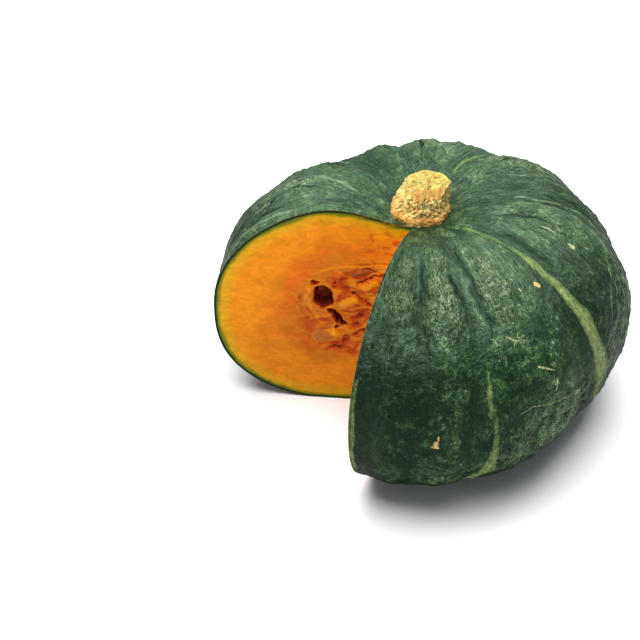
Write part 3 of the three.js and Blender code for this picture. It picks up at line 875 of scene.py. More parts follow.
def makeSpeckle():
    # fine pale flecks, thicker where Cover is higher
    nodes, entry = newGroup("speckle", "ShaderNodeTree", {"Vector": "Vector", "Scale": 500.0, "Cover": 0.3},
                            {"Mask": "Float"})
    noise = nodes.noise(entry["Vector"], entry["Scale"], 4, 0.7)
    level = entry["Cover"] * -0.3 + 0.70
    return nodes.leave(Mask=(noise - level).ramp(-0.012, 0.045))


def makeRindMaterial(speckle):
    material, nodes = newMaterial("rind_green")
    places = nodes.out("ShaderNodeTexCoord", "Object")
    growth = nodes.attribute("growth", "Vector")
    warty, netted, furrow = nodes.parts(nodes.attribute("rindGrain", "Color"))
    side, half = (nodes.parts(nodes.attribute(name, "Color")) for name in ("thinSide", "thinWidth"))
    stripe, scar, cutGap = (nodes.attribute(name) for name in ("stripeEdge", "scarEdge", "cutGap"))
    large = nodes.noise(places, 32, 4, 0.6, 0.3)
    middle = nodes.noise(places, 150, 5, 0.65, 0.4)
    pebble = nodes.noise(places, 620, 4, 0.66, 0.3)
    # streaks run from stem to blossom end
    streaks = nodes.noise(nodes.mapped(growth, (1.0, 0.16, 1.0)), 420, 5, 0.7, 0.25)
    # 1 on the shoulders, less beside the stem, 0 low down
    down = nodes.out("ShaderNodeSeparateXYZ", 1, in_0=growth)
    shoulder = down.ramp(0.040, 0.090, 1.0, 0.0) * down.ramp(0.018, 0.046, 0.12, 1.0)
    leafShare = (large * 0.6 + middle * 0.6).ramp(0.50, 0.72)
    colour = nodes.mix(leafShare, rindColours["dark"], rindColours["leaf"])
    # painted sheen with some real waxy bloom: the shoulders and warty lobes are painted paler grey-green,
    # standing in for the overhead light's sheen
    shoulderSheenBloom = shoulder * streaks.ramp(0.34, 0.66, 0.25, 0.75)
    sheenBloomShare = nodes.maths("MULTIPLY_ADD", warty, 0.6, shoulderSheenBloom, clamp=True)
    colour = nodes.mix(sheenBloomShare, colour, rindColours["sheenBloom"])
    # flecks are drawn out from stem to blossom end, gather on the warty lobes and thin out in the furrows;
    # the pale speck flecks on the warty lobes and shoulders are partly painted glints
    drawn = nodes.mapped(growth, (1.0, 0.8, 1.0))
    bare = furrow * -0.3 + (netted * 0.24 - 0.42)
    cover = warty * 0.26 + (middle * 1.5 + (shoulder * 0.1 + bare))
    for scale, tone, weight, more, shift in rindFlecks:
        fleck = nodes.out("ShaderNodeGroup", node_tree=speckle, in_Scale=scale, in_Cover=cover + more,
                          in_Vector=nodes.mapped(drawn, shift=(shift, 0, 0)))
        colour = nodes.mix(fleck * weight, colour, rindColours[tone])
    # painted shade: the bottoms of the furrows and the shaded places are darkened to near-black green,
    # unevenly along the streaks
    furrowShadeShare = nodes.maths("MULTIPLY", furrow, streaks.ramp(0.36, 0.62, 0.95, 0.5), clamp=True)
    colour = nodes.mix(furrowShadeShare, colour, rindColours["furrow"])
    # the net: thin corky threads
    warp = nodes.noise(places, 120, 3, key="Color")
    warped = nodes.vector("MULTIPLY_ADD", in_0=warp, in_1=(0.014, 0.014, 0.014), in_2=growth)
    web = nodes.out("ShaderNodeTexVoronoi", "Distance", feature="DISTANCE_TO_EDGE", in_Vector=warped,
                    in_Scale=95.0)
    threads = web.ramp(0.015, 0.075, 1.0, 0.0) * netted * middle.ramp(0.35, 0.6)
    colour = nodes.mix(threads * 0.45, colour, rindColours["net"])
    # stripes with ragged edges, greener inside where they are thin
    ragged = stripe + ((streaks + middle) * 3.4 - 3.4)
    inside = ragged.ramp(0.2, 2.6) * streaks.ramp(0.3, 0.62, 0.45, 1.0)
    stripeColour = nodes.mix(inside, rindColours["stripeDeep"], rindColours["stripe"])
    colour = nodes.mix(ragged.ramp(-0.25, 0.35, 0.0, 0.92), colour, stripeColour)

    def thinShare(channel, wear, most):
        # how much a thin line covers: its half width less the distance off it, made ragged
        inner = half[channel] - abs(side[channel])
        return (inner + (middle * wear - 0.5 * wear)).ramp(-0.12, 0.14, 0.0, most)
    # thin scratches, corky scars, creases painted dark as shade, ridges painted pale as a highlight, and a
    # pale line on the lip of the two cuts that is partly a painted highlight
    scarShare = (middle * 0.9 + (scar - 0.45)).ramp(-0.2, 0.2)
    for share, tone in ((thinShare(2, 0.25, 0.85), "scratch"), (scarShare, "scar"),
                        (thinShare(0, 1.1, 0.94), "furrow"), (thinShare(1, 1.5, 0.5), "ridgeHighlight"),
                        (cutGap.ramp(0.05, 0.45, 0.6, 0.0), "lip")):
        colour = nodes.mix(share, colour, rindColours[tone])
    # a fine light and dark grain over everything
    strokes = nodes.noise(nodes.mapped(growth, (1.0, 0.42, 1.0)), 640, 5, 0.82, 0.4)
    gritty = nodes.vector("SCALE", in_0=colour, in_Scale=strokes.ramp(0.34, 0.68, 0.26, 1.62, "LINEAR"))
    # waxy gloss, duller on scars and warts and in the furrows of the shoulders
    dull = pebble * 0.16 + 0.20 + nodes.maths("MAXIMUM", scarShare, warty * 0.1) * 0.35
    dull = furrow * shoulder * 0.34 + dull
    wrinkles = nodes.noise(drawn, 330, 4, 0.6, 0.9)
    height = (pebble * rindBump["pebbles"] + wrinkles * (warty * rindBump["warts"] + rindBump["wrinkles"])
              + streaks * rindBump["streaks"] + threads * rindBump["net"])
    nodes.dress(Base_Color=gritty, Roughness=dull, Normal=nodes.bump(height, 1.0, 1.0),
                Specular_IOR_Level=0.44, Specular_Tint=rindColours["gloss"])
    return material


fleshTone = makeFleshTone()
fleshMaterial = makeFleshMaterial("cut_flesh", fleshTone, fleshLook)
pulpMaterial = makeFleshMaterial("wet_pulp", fleshTone, pulpLook)
rindMaterial = makeRindMaterial(makeSpeckle())
print("flesh and rind materials made")


def thinLines(turn, fall, lines, taper):
    # for lines finer than the mesh: distance off the nearest one with its side, and its half width,
    # well below 0 away from every line
    nearest, side, half = (np.full(turn.shape, start) for start in (99.0, 9.0, -3.0))
    for width, path in lines:
        gap, place, aside = alongRind(turn, fall, path)
        end = len(path) - 1
        fade = smooth(place, 0, taper) * smooth(end - place, 0, taper * (1 if taper > 0.5 else 4 * end))
        closer = gap < nearest
        side = np.where(closer, aside, side)
        half = np.where(closer, width * fade - 0.25 * (1 - fade) - 3 * smooth(gap, 1.5, 2.6), half)
        nearest = np.minimum(nearest, gap)
    return side, half


def rindValues(turn, fall):
    # what the rind's material reads at each place
    stripe, scar = (np.full(turn.shape, -8.0) for _ in range(2))
    for path in rindStripes:
        gap, place, _ = alongRind(turn, fall, path)
        stripe = np.maximum(stripe, np.interp(place, range(len(path)), [p[2] for p in path]) - gap)
    for width, path in rindScars:
        scar = np.maximum(scar, width - alongRind(turn, fall, path)[0])

    def cover(places):
        total = 0 * turn
        for at, down, halfTurn, halfFall, strength in places:
            q = np.hypot(wrapped(turn - at) / halfTurn, (fall - down) / halfFall)
            total = np.maximum(total, strength * (1 - smooth(q, 0.45, 1.35)))
        return total
    # the painted shade along a crease and the painted highlight along a ridge are narrower than its relief
    creaseShadeShare, ridgeHighlightShare = 0.46, 0.42
    creases = [(creaseShadeShare * width, path) for deepest, width, path in rindLines if deepest > 0]
    ridges = [(ridgeHighlightShare * width, path) for deepest, width, path in rindLines if deepest < 0]
    thin = [thinLines(*wander(turn, fall), creases, 0.8), thinLines(*wander(turn, fall), ridges, 0.8),
            thinLines(turn, fall, rindScratches, 0.12)]
    # the furrow mask from furrow and crease depth: painted shade there, fewer flecks and a duller gloss
    furrow = np.clip(furrowDepth(turn, fall) / 5.0 + np.maximum(linesDepth(turn, fall), 0) * 0.8, 0, 1) ** 2.0
    # the lobe beside the front cut is pale and warty right to its edge, so less painted furrow shade falls on
    # it
    beside = 1 - smooth(np.abs(wrapped(turn - squash["furrows"][0][0])), 5, 13)
    furrow = furrow * (1 - 0.4 * beside * (1 - smooth(fall, 44, 58)))
    furrow = np.maximum(furrow, cover(paintedShadePlaces))
    across, down = (np.radians(squash[key]) * mm for key in ("radius", "downRadius"))
    growth = np.stack([turn * across, fall * down, 0 * turn], axis=-1)
    place = rindPoint(turn, fall) - notchPoint
    # distance from each cut's edge; the material draws a pale line along the lip there, partly the cut skin's
    # own pale edge and partly a painted highlight
    cutGap = np.full(turn.shape, 9.0)
    for cut, thinner in zip(cutNames, (1.9, 1.0)):
        out, off = cutAxes(cut)
        cutGap = np.minimum(cutGap, np.where(place @ out > 0, np.abs(place @ off) * thinner, 9.0))
    return {"stripeEdge": stripe, "scarEdge": scar, "growth": growth, "cutGap": cutGap,
            "thinSide": np.stack([side for side, _ in thin], axis=-1),
            "thinWidth": np.stack([width for _, width in thin], axis=-1),
            "rindGrain": np.stack([cover(wartyPlaces), cover(nettedPlaces), furrow], axis=-1)}


# rows of the rind, with one row exactly at each end of the line where the two cuts meet
falls = evenFalls(squash["rows"] + 1)
topFall, bottomFall = fallAtNotch(2.0, 40.0), fallAtNotch(120.0, 178.0)
topRow, bottomRow = (int(np.argmin(np.abs(falls - fall))) for fall in (topFall, bottomFall))
falls[topRow], falls[bottomRow] = topFall, bottomFall
rimRows = slice(topRow, bottomRow + 1)
whole = (np.arange(len(falls)) <= topRow) | (np.arange(len(falls)) >= bottomRow)
frontTurn = np.where(whole, notchTurn, cutEdge("frontCut", falls))
leftTurn = np.where(whole, notchTurn + 360, cutEdge("leftCut", falls))
columnShare = np.linspace(0, 1, squash["columns"] + 1)
turnGrid = frontTurn[:, None] + (leftTurn - frontTurn)[:, None] * columnShare[None, :]
fallGrid = np.broadcast_to(falls[:, None], turnGrid.shape).copy()
rindGrid = rindPoint(turnGrid, fallGrid)

_, cavityMiddle, cavityHalf, _ = squash["cavity"]
cutRims, cavityRims = {}, {}
for cut, column in zip(cutNames, (0, -1)):
    edge = rindGrid[rimRows, column]
    rim = edge - notchPoint
    rimOut, rimUp = rim @ cutAxes(cut)[0], rim[:, 2]
    rimOut[0] = rimOut[-1] = 0
    angles = np.arctan2(rimUp - cavityMiddle, rimOut)
    angles[0], angles[-1] = math.pi / 2, -math.pi / 2
    reach = cavityOutline(cut, angles)
    cutRims[cut] = (rimOut, rimUp)
    cavityRims[cut] = (reach * np.cos(angles), cavityMiddle + reach * np.sin(angles))
    for end in (0, -1):
        edge[end] = notchPoint + np.array([0, 0, rimUp[end]])
print(f"rim of {bottomRow - topRow + 1} points on each cut")


def placeOnCutSheet(cut, out, up, relief=0.0):
    outward, off = cutAxes(cut)
    place = notchPoint + np.multiply.outer(out, outward) + np.multiply.outer(relief, off)
    place[..., 2] = up
    return place


def between(values):
    # the same outline with a point added halfway along each of its steps
    finer = np.repeat(np.asarray(values, float), 2)[:-1]
    finer[1::2] = (finer[:-1:2] + finer[2::2]) / 2
    return finer


def addCavity(sheets, surface, rims, inset, depth):
    # the cavity's wall behind the two cuts, a row for each rim point
    rows = []
    share = np.linspace(0, 1, squash["wallPoints"])
    away = inset * smooth(np.minimum(share, 1 - share), 0, 0.04)
    for front, left in zip(zip(*rims["frontCut"]), zip(*rims["leftCut"])):
        start, end = placeOnCutSheet("frontCut", *front), placeOnCutSheet("leftCut", *left)
        startTurn = math.degrees(math.atan2(start[1], start[0]))
        endTurn = math.degrees(math.atan2(end[1], end[0])) % 360
        turn = np.radians(mixed(startTurn, endTurn, share))
        height = mixed(start[2], end[2], share)
        radius = mixed(math.hypot(start[0], start[1]), math.hypot(end[0], end[1]), share) - away
        height = height - (height - cavityMiddle) * away / cavityHalf
        rows.append(np.stack([radius * np.cos(turn), radius * np.sin(turn), height], axis=-1))
    sheets.addGrid(np.array(rows), surface, rindDepth=depth)
    # the flat middle above and below the wall, closed to a point over the axis
    for edge in (rows[0], rows[-1]):
        middle = edge.mean(0) * np.array([0, 0, 1])
        cap = np.array([mixed(edge, middle, share) for share in np.linspace(0, 1, 4)])
        sheets.addGrid(cap, surface, rindDepth=depth)


def makeFruit():
    sheets = Sheets()
    steps = np.arange(squash["columns"] + 1)
    sinceEdge = np.minimum(steps, steps[::-1])
    held = smooth(sinceEdge[None, :] * 1.0, 0, 2.5) * smooth(rindGrid[..., 2] + stemPlace.z / mm, 0.2, 3.0)
    sheets.addGrid(rindGrid, 0, rindDepth=0.0, free=held, isRind=1.0, **rindValues(turnGrid, fallGrid))
    share = np.linspace(0, 1, squash["rimSteps"] + 1) ** squash["rimCrowding"]
    for cut in cutNames:
        out, up = (mixed(rim[:, None], pool[:, None], share[None, :])
                   for rim, pool in zip(cutRims[cut], cavityRims[cut]))
        depth = alongCut(out, up, list(zip(*cutRims[cut])))
        relief, tint = cutDetail(cut, out, up, 0 * out)
        relief = relief * smooth(depth, 0.5, 3.0) * (share < 1)[None, :]
        sheets.addGrid(placeOnCutSheet(cut, out, up, relief), 1, rindDepth=depth, cutTint=tint)
    addCavity(sheets, 1, cavityRims, 0.0, 30.0)
    return sheets.build("kabocha_flesh_and_rind", [rindMaterial, fleshMaterial], weld=1.5e-5)


rindRelief = {"Wart Height": 0.0025, "Wart Size": 0.0038, "Pebble Height": 0.0014, "Pebble Size": 0.0044,
              "Net Height": 0.0007, "Wave Height": 0.0020}


def makeRindRelief():
    # swells the rind's warts, pebbles, net and long waves out of the plain skin
    nodes, entry = newGroup(
        "rindRelief", "GeometryNodeTree",
        {"Geometry": "Geometry", **rindRelief, "Rind": "Material", "Flesh": "Material"},
        {"Geometry": "Geometry"})
    warty, netted = nodes.parts(nodes.stored("rindGrain", "FLOAT_COLOR"), "FunctionNodeSeparateColor")[:2]
    growth = nodes.stored("growth", "FLOAT_COLOR")
    position = nodes.out("GeometryNodeInputPosition")

    def bumps(kind, detail):
        scale = nodes.maths("DIVIDE", 1.0, entry[kind + " Size"])
        return (nodes.noise(position, scale, detail, 0.55) - 0.5) * entry[kind + " Height"]
    rise = bumps("Wart", 2.0) * (warty * 2.4) + bumps("Pebble", 3.0)
    # the net and the long waves follow the growth lines
    alongGrowth = nodes.vector("MULTIPLY", in_0=growth, in_1=(1.0, 0.3, 1.0))
    waves = (nodes.noise(alongGrowth, 150, 2, distortion=0.4) - 0.5) * entry["Wave Height"]
    fold = abs(nodes.noise(growth, 210, 2, distortion=0.8) - 0.5)
    net = nodes.maths("MULTIPLY_ADD", fold, -8.0, 1.0, clamp=True) * netted * entry["Net Height"]
    rise = (rise + (waves + net)) * nodes.stored("free") * nodes.stored("isRind")
    offset = nodes.vector("SCALE", in_0=nodes.out("GeometryNodeInputNormal"), in_Scale=rise)
    moved = nodes.out("GeometryNodeSetPosition", in_Geometry=entry["Geometry"], in_Offset=offset)
    skin = nodes.out("GeometryNodeRealizeInstances", in_0=moved)
    isFlesh = nodes.out("FunctionNodeCompare", data_type="INT", operation="EQUAL",
                        in_2=nodes.out("GeometryNodeInputMaterialIndex"), in_3=1)
    isRind = nodes.out("FunctionNodeBooleanMath", operation="NOT", in_0=isFlesh)
    for where, label in ((isRind, "Rind"), (isFlesh, "Flesh")):
        skin = nodes.out("GeometryNodeSetMaterial", in_Geometry=skin, in_Selection=where,
                         in_Material=entry[label])
    return nodes.leave(Geometry=skin)


def applyNodes(piece, group, settings):
    # runs a node group on a piece and keeps its result as a plain mesh
    modifier = piece.modifiers.new(group.name, "NODES")
    modifier.node_group = group
    for socket in group.interface.items_tree:
        if socket.item_type == "SOCKET" and socket.in_out == "INPUT" and socket.name in settings:
            modifier[socket.identifier] = settings[socket.name]
    bpy.context.view_layer.update()
    evaluated = piece.evaluated_get(bpy.context.evaluated_depsgraph_get())
    result = bpy.data.meshes.new_from_object(evaluated)
    piece.modifiers.remove(modifier)
    result.name = piece.name
    plain, piece.data = piece.data, result
    bpy.data.meshes.remove(plain)


fruit = makeFruit()
applyNodes(fruit, makeRindRelief(), {**rindRelief, "Rind": rindMaterial, "Flesh": fleshMaterial})
print("fruit made")


pulpShape = {"columns": 112, "crowding": 0.8, "gapBehind": 0.3}


def makePulp():
    sheets = Sheets()
    share = np.linspace(0, 1, pulpShape["columns"]) ** pulpShape["crowding"]
    rims = {cut: tuple(between(line) for line in cavityRims[cut]) for cut in cutNames}
    for cut in cutNames:
        poolOut, poolUp = rims[cut]
        out = poolOut[:, None] * share[None, :]
        up = cavityMiddle + (poolUp[:, None] - cavityMiddle) * share[None, :]
        inside = np.hypot(poolOut, poolUp - cavityMiddle)[:, None] * (1 - share[None, :])
        depth = alongCut(out, up, list(zip(*cutRims[cut])))
        relief, tint = cutDetail(cut, out, up, inside)
        relief = relief * (share < 1)[None, :]
        sheets.addGrid(placeOnCutSheet(cut, out, up, relief), 0, rindDepth=depth, cutTint=tint)
    addCavity(sheets, 0, rims, pulpShape["gapBehind"], 32.0)
    return sheets.build("kabocha_pulp", [pulpMaterial])


pulp = makePulp()
print("pulp made")


seedShape = {"length": 17.0, "width": 11.0, "thickness": 4.0, "taper": 0.38, "around": 56, "rings": 15}
# Each seed in its cut: out, up, how deep, turn of its long side, tip, roll, and how much wet film covers it.
seedPlaces = {
    "seed_left_1": ("leftCut", 34.5, -12.8, 1.9, 178, 5, 0, 0.75),
    "seed_left_2": ("leftCut", 19.6, 20.6, 3.4, 161, 0, 40, 0.95),
    "seed_left_3": ("leftCut", 37.5, 7.5, 8.0, 75, 0, 20, 1.0),
    "seed_front_1": ("frontCut", 27.0, 13.0, 0.6, 20, -8, 0, 0.15),
    "seed_front_2": ("frontCut", 31.0, 0.0, 2.4, -10, 0, 14, 0.35),
    "seed_front_3": ("frontCut", 13.0, -9.0, 2.0, 62, 6, 0, 0.3),
    "seed_front_4": ("frontCut", 27.0, -14.0, 0.8, 45, 0, -10, 0.2),
    "seed_front_5": ("frontCut", 10.0, 13.0, 1.4, 70, 0, 0, 0.45),
}
seedColours = {
    "dark": rgb(184, 112, 34), "light": rgb(214, 150, 62), "rim": rgb(228, 176, 92), "wet": rgb(150, 66, 12),
    "sunkShadeDark": rgb(112, 38, 24), "sunkShadeLight": rgb(160, 70, 42), "gloss": (1.0, 0.7, 0.4, 1),
}


def makeSeedMaterial():
    material, nodes = newMaterial("seed_hull")
    places = nodes.out("ShaderNodeTexCoord", "Object")
    rim, film, sunkShade = nodes.parts(nodes.attribute("hull", "Color"))
    mottle = nodes.noise(places, 320, 4, 0.6, 0.6)
    threads = nodes.noise(places, 1300, 3, 0.6)
    colour = nodes.mix(mottle.ramp(0.3, 0.7), seedColours["dark"], seedColours["light"])
    colour = nodes.mix(rim * 0.6, colour, seedColours["rim"])
    wetShare = nodes.maths("MULTIPLY", film, mottle.ramp(0.25, 0.75, 1.0, 0.72), clamp=True)
    colour = nodes.mix(wetShare, colour, seedColours["wet"])
    # painted shade: seeds sunk deep in the pulp's hollows are painted a dark red-brown
    sunkShadeColour = nodes.mix(mottle.ramp(0.35, 0.65), seedColours["sunkShadeDark"], seedColours["sunkShadeLight"])
    colour = nodes.mix(sunkShade, colour, sunkShadeColour)
    nodes.dress(Base_Color=colour, Roughness=threads * 0.2 + 0.2, Normal=nodes.bump(threads, 0.4, 0.0002),
                Specular_IOR_Level=0.16, Specular_Tint=seedColours["gloss"])
    return material


def turnedAbout(axis, degrees):
    # a turn about the first or the second axis
    c, s = math.cos(math.radians(degrees)), math.sin(math.radians(degrees))
    return np.array([[1, 0, 0], [0, c, -s], [0, s, c]] if axis == 0 else [[c, 0, s], [0, 1, 0], [-s, 0, c]])


def makeSeed(name, material, number):
    cut, out, up, deep, spin, tip, roll, film = seedPlaces[name]
    outward, off = cutAxes(cut)
    long = outward * math.cos(math.radians(spin)) + np.array([0, 0, math.sin(math.radians(spin))])
    axes = np.stack([long, np.cross(off, long), off], axis=1) @ turnedAbout(0, roll) @ turnedAbout(1, tip)
    centre = notchPoint + outward * out + np.array([0, 0, up]) - off * deep
    sheets = Sheets()
    angle = np.linspace(0, 2 * math.pi, seedShape["around"], endpoint=False)[None, :]
    q = np.sin(np.linspace(0, math.pi / 2, seedShape["rings"]))[:, None]
    x = q * np.cos(angle)
    y = q * np.sin(angle) * (1 - seedShape["taper"] * np.maximum(0, np.cos(angle)) ** 1.6)
    # a flat hull that thins to its edge, with a raised border and a slightly uneven middle
    body = (1 - q ** 2.6) ** 0.55 + 0.0 * angle
    border = 0.16 * bell(q - 0.86, 0.06) - 0.1 * bell(q - 0.72, 0.07)
    uneven = 0.07 * ripple(x * 2.2 + number, y * 2.2, 41) * (1 - q ** 2)
    # how much painted shade the seed gets for lying deep in the cut
    sunkShade = float(smooth(deep, 2, 5.5))
    hull = np.stack([bell(q - 0.9, 0.09) + 0 * angle, film + 0 * x, sunkShade + 0 * x], axis=-1)
    half = seedShape["thickness"] / 2
    for side in (1, -1):
        z = np.clip(side * (body + border + uneven * side) * half, -half, half) * (q < 1)
        local = np.stack([x * seedShape["length"] / 2, y * seedShape["width"] / 2, z], axis=-1)
        sheets.addGrid(local @ axes.T + centre, 0, closed=True, hull=hull)
    return sheets.build(name.replace("seed", "pepita"), [material])


seedMaterial = makeSeedMaterial()
seeds = {name: makeSeed(name, seedMaterial, i * 3.7) for i, name in enumerate(seedPlaces)}
print("seeds made")


stem = {
    "lean": 3.4, "radius": 12, "around": 300, "sideRows": 120, "topRows": 46, "underRows": 3,
    # height and radius up the side
    "profile": ((45.0, 11.2), (46.6, 11.9), (48.0, 12.3), (49.6, 12.3), (50.8, 11.8), (51.4, 11.2),
                (52.2, 11.2), (54.0, 10.9), (57.0, 10.2), (60.0, 9.6), (61.4, 9.3), (62.0, 9.0), (62.3, 8.6)),
    "collarTop": 51.2,
    "plateWidth": 1.7, "plateHeight": 4.2, "plateRelief": 1.1,
    # broken off the upper side: direction, distance from the middle at the top, slope, tones of its cork
    "facets": ((-122, 6.4, 0.95, 0.9, 0.0), (-70, 5.9, 1.05, 0.7, 0.45), (-28, 8.0, 0.3, 0.3, 0.0)),
    "crackTurn": -97, "crackPath": ((0.4, 1.0), (-0.4, -3.5), (-1.2, -10.6)),
}
corkColours = {
    "side": (rgb(250, 202, 104), rgb(255, 240, 156)), "top": (rgb(150, 132, 58), rgb(208, 194, 110)),
    "collar": (rgb(196, 132, 58), rgb(244, 200, 116)), "gap": rgb(166, 104, 42),
}
corkFlakes = {"Count": 140000.0, "Size": 0.0006, "Seed": 7}


def makeCorkMaterial():
    material, nodes = newMaterial("dry_cork")
    places = nodes.out("ShaderNodeTexCoord", "Object")
    gap, top, collar = nodes.parts(nodes.attribute("corkTint", "Color"))
    mottle = nodes.noise(places, 420, 5, 0.65, 0.4)
    fine = nodes.noise(places, 1700, 4, 0.65)
    grain = nodes.noise(nodes.mapped(places, (1.0, 1.0, 0.3)), 1500, 4, 0.6)
    colour = nodes.mix(mottle.ramp(0.3, 0.68), *corkColours["side"])
    colour = nodes.mix(top, colour, nodes.mix(mottle.ramp(0.3, 0.7), *corkColours["top"]))
    colour = nodes.mix(collar, colour, nodes.mix(mottle.ramp(0.35, 0.65), *corkColours["collar"]))
    # small pits, fewer on the top
    pits = grain.ramp(0.36, 0.5, 0.45, 0.0) * (1.0 - top * 0.75)
    colour = nodes.mix(nodes.maths("MAXIMUM", gap, pits * 0.5, clamp=True), colour, corkColours["gap"])
    nodes.dress(Base_Color=colour, Roughness=fine * 0.3 + 0.62, Normal=nodes.bump(grain + fine, 0.8, 0.0005),
                Specular_IOR_Level=0.25)
    return material


def corkSide(turn, up):
    # radius, tint and flakiness of the stem's side; no pattern breaks at the seam behind it
    angle = np.radians(turn)
    heights, radii = (np.array(v) for v in zip(*stem["profile"]))
    corky = smooth(up, stem["collarTop"] - 0.2, stem["collarTop"] + 0.8)
    nearTop = smooth(up, 58.5, 62.0)
    offSeam = 1 - smooth(np.abs(turn), 178.6, 180)
    # plates of cork with brown gaps between them, drawn out upright
    x = (turn + 180) / 360 * round(2 * math.pi * stem["radius"] / stem["plateWidth"])
    sway = 0.35 * np.sin(angle * 5 + up * 0.8) + 0.25 * np.sin(angle * 11 - up * 1.3)
    inside, number = cells(x + sway, up / stem["plateHeight"] + 0.3 * np.sin(angle * 7), 3.1)
    fineInside, fineNumber = cells(x * 2 + sway, up / 0.9 + 0.3 * np.cos(angle * 9), 8.7)
    gap = 0.6 * (1 - smooth(inside, 0.03, 0.2)) * corky * offSeam
    fineGap = 0.4 * (1 - smooth(fineInside, 0.02, 0.16)) * corky * offSeam
    rough = 0.5 * (fineNumber - 0.5) * offSeam
    # pits where the cork has come away, longer upright
    worn = layers(x * 0.9 + sway, up * 0.42, 15) + 0.5 * layers(x * 2.3, up * 1.3, 35)
    pits = smooth(worn, 0.16, 0.42) * offSeam * smooth(up, 48.6, 51.5)
    relief = stem["plateRelief"] * ((number - 0.5) * 0.9 * offSeam - gap * 0.8) - 0.35 * fineGap
    relief = (relief + rough - 0.7 * pits) * corky * (1 - 0.7 * nearTop)
    relief = relief + 0.35 * np.cos(angle * 7 + 0.6) + 0.25 * np.cos(angle * 3 + up * 0.2)
    relief = relief + (1 - corky) * (0.14 * np.cos(angle * 19) + 0.1 * np.cos(angle * 31) + 0.9 * rough)
    radius = np.interp(up, heights, radii) + relief
    # smooth facets broken off the upper side
    chipped, facetTop, facetCollar = 0 * radius, 0 * radius, 0 * radius
    for at, distance, slope, topShare, collarShare in stem["facets"]:
        away = np.cos(np.radians(wrapped(turn - at)))
        face = (distance + slope * (heights[-1] - up)) / np.maximum(away, 0.25)
        face = face + 0.2 * ripple(turn * 0.2, up * 0.9, 47) + 0.22 * layers(turn * 0.16, up * 0.35, 43)
        broken = smooth(radius - face, -0.1, 0.25) * smooth(away, 0.25, 0.4)
        radius = mixed(radius, face, broken)
        chipped = np.maximum(chipped, broken)
        facetTop, facetCollar = mixed(facetTop, topShare, broken), mixed(facetCollar, collarShare, broken)
    # a crack down from the top
    crackTurn = stem["crackTurn"] + 5 * np.sin(up * 0.55 + 1.2) - (62 - up) * 1.1
    crack = bell(np.abs(wrapped(turn - crackTurn)) * 0.18, 0.17) * smooth(up, 52.5, 54.0)
    radius = radius - 0.8 * crack
    gaps = np.maximum(gap, np.maximum(fineGap, pits)) * (1 - chipped) * (1 - 0.6 * nearTop)
    gaps = np.maximum(gaps, (1 - corky) * 0.45 * (fineNumber < 0.3) * offSeam)
    brown = 0.55 * gaps + crack + 0.52 * chipped * (1 + 0.8 * ripple(turn * 0.15, up * 0.7, 57))
    tint = np.stack([np.clip(brown, 0, 1), np.maximum(nearTop * (1 - chipped), facetTop),
                     np.maximum(1 - corky, facetCollar)], axis=-1)
    flaky = (0.3 + 0.7 * corky) * smooth(62.0 - up, 0, 2.5) * (1 - chipped) * smooth(up, 46, 47)
    return radius, tint, flaky


def makeStem(material):
    sheets = Sheets()
    turn = np.linspace(-180, 180, stem["around"], endpoint=False)[None, :]
    angle = np.radians(turn)
    foot, crown = stem["profile"][0][0], stem["profile"][-1][0]
    up = np.linspace(foot, crown, stem["sideRows"])[:, None]
    radius, tint, flaky = corkSide(turn, up)
    leanAt = stem["lean"] * ((up - foot) / (crown - foot)) ** 2
    side = np.stack([radius * np.cos(angle) + leanAt, radius * np.sin(angle), up + 0 * radius], axis=-1)
    # the broken top, from its edge to the middle
    inward = np.linspace(0, 1, stem["topRows"])[:, None]
    x, y = (radius[-1:, :] * (1 - inward) * part for part in (np.cos(angle), np.sin(angle)))
    lumps = 0.3 * layers(x * 0.9, y * 0.9, 67)
    for rise, scale, seed in ((0.75, 0.36, 13), (0.4, 0.85, 19), (0.4, 1.9, 23)):
        lumps = lumps + rise * ripple(x * scale, y * scale, seed)
    ledge = 0.5 * smooth(x * 0.3 + y * 0.95, -4.5, -1.5) - 0.35
    crack = bell(alongCut(x, y, stem["crackPath"]), 0.4)
    pit = bell(np.hypot(x - 0.2, y - 1.2), 1.1)
    z = crown + (lumps + ledge) * smooth(inward, 0, 0.16) - 0.8 * crack * smooth(inward, 0, 0.1)
    z = z - 0.7 * pit + 0.3 * smooth(inward, 0, 0.2)
    top = np.stack([x + stem["lean"], y, z], axis=-1)
    brown = 0.65 * crack + 0.5 * pit + 0.25 * (1 - smooth(lumps, -0.8, -0.2))
    topTint = np.stack([np.clip(brown, 0, 1), np.ones_like(x), 0 * x], axis=-1)
    top[0], topTint[0] = side[-1], tint[-1]
    closing = np.linspace(0, 1, stem["underRows"])
    under = np.array([mixed(side[0], side[0].mean(0), share) for share in closing])
    sheets.addGrid(side, 0, closed=True, corkTint=tint, flaky=flaky)
    topFlaky = 0.4 * smooth(np.hypot(x, y), 3, 9) * (inward > 0)
    sheets.addGrid(top, 0, closed=True, corkTint=topTint, flaky=topFlaky)
    sheets.addGrid(under, 0, closed=True, corkTint=np.broadcast_to([0.0, 0.0, 1.0], under.shape))
    return sheets.build("kabocha_stem", [material])


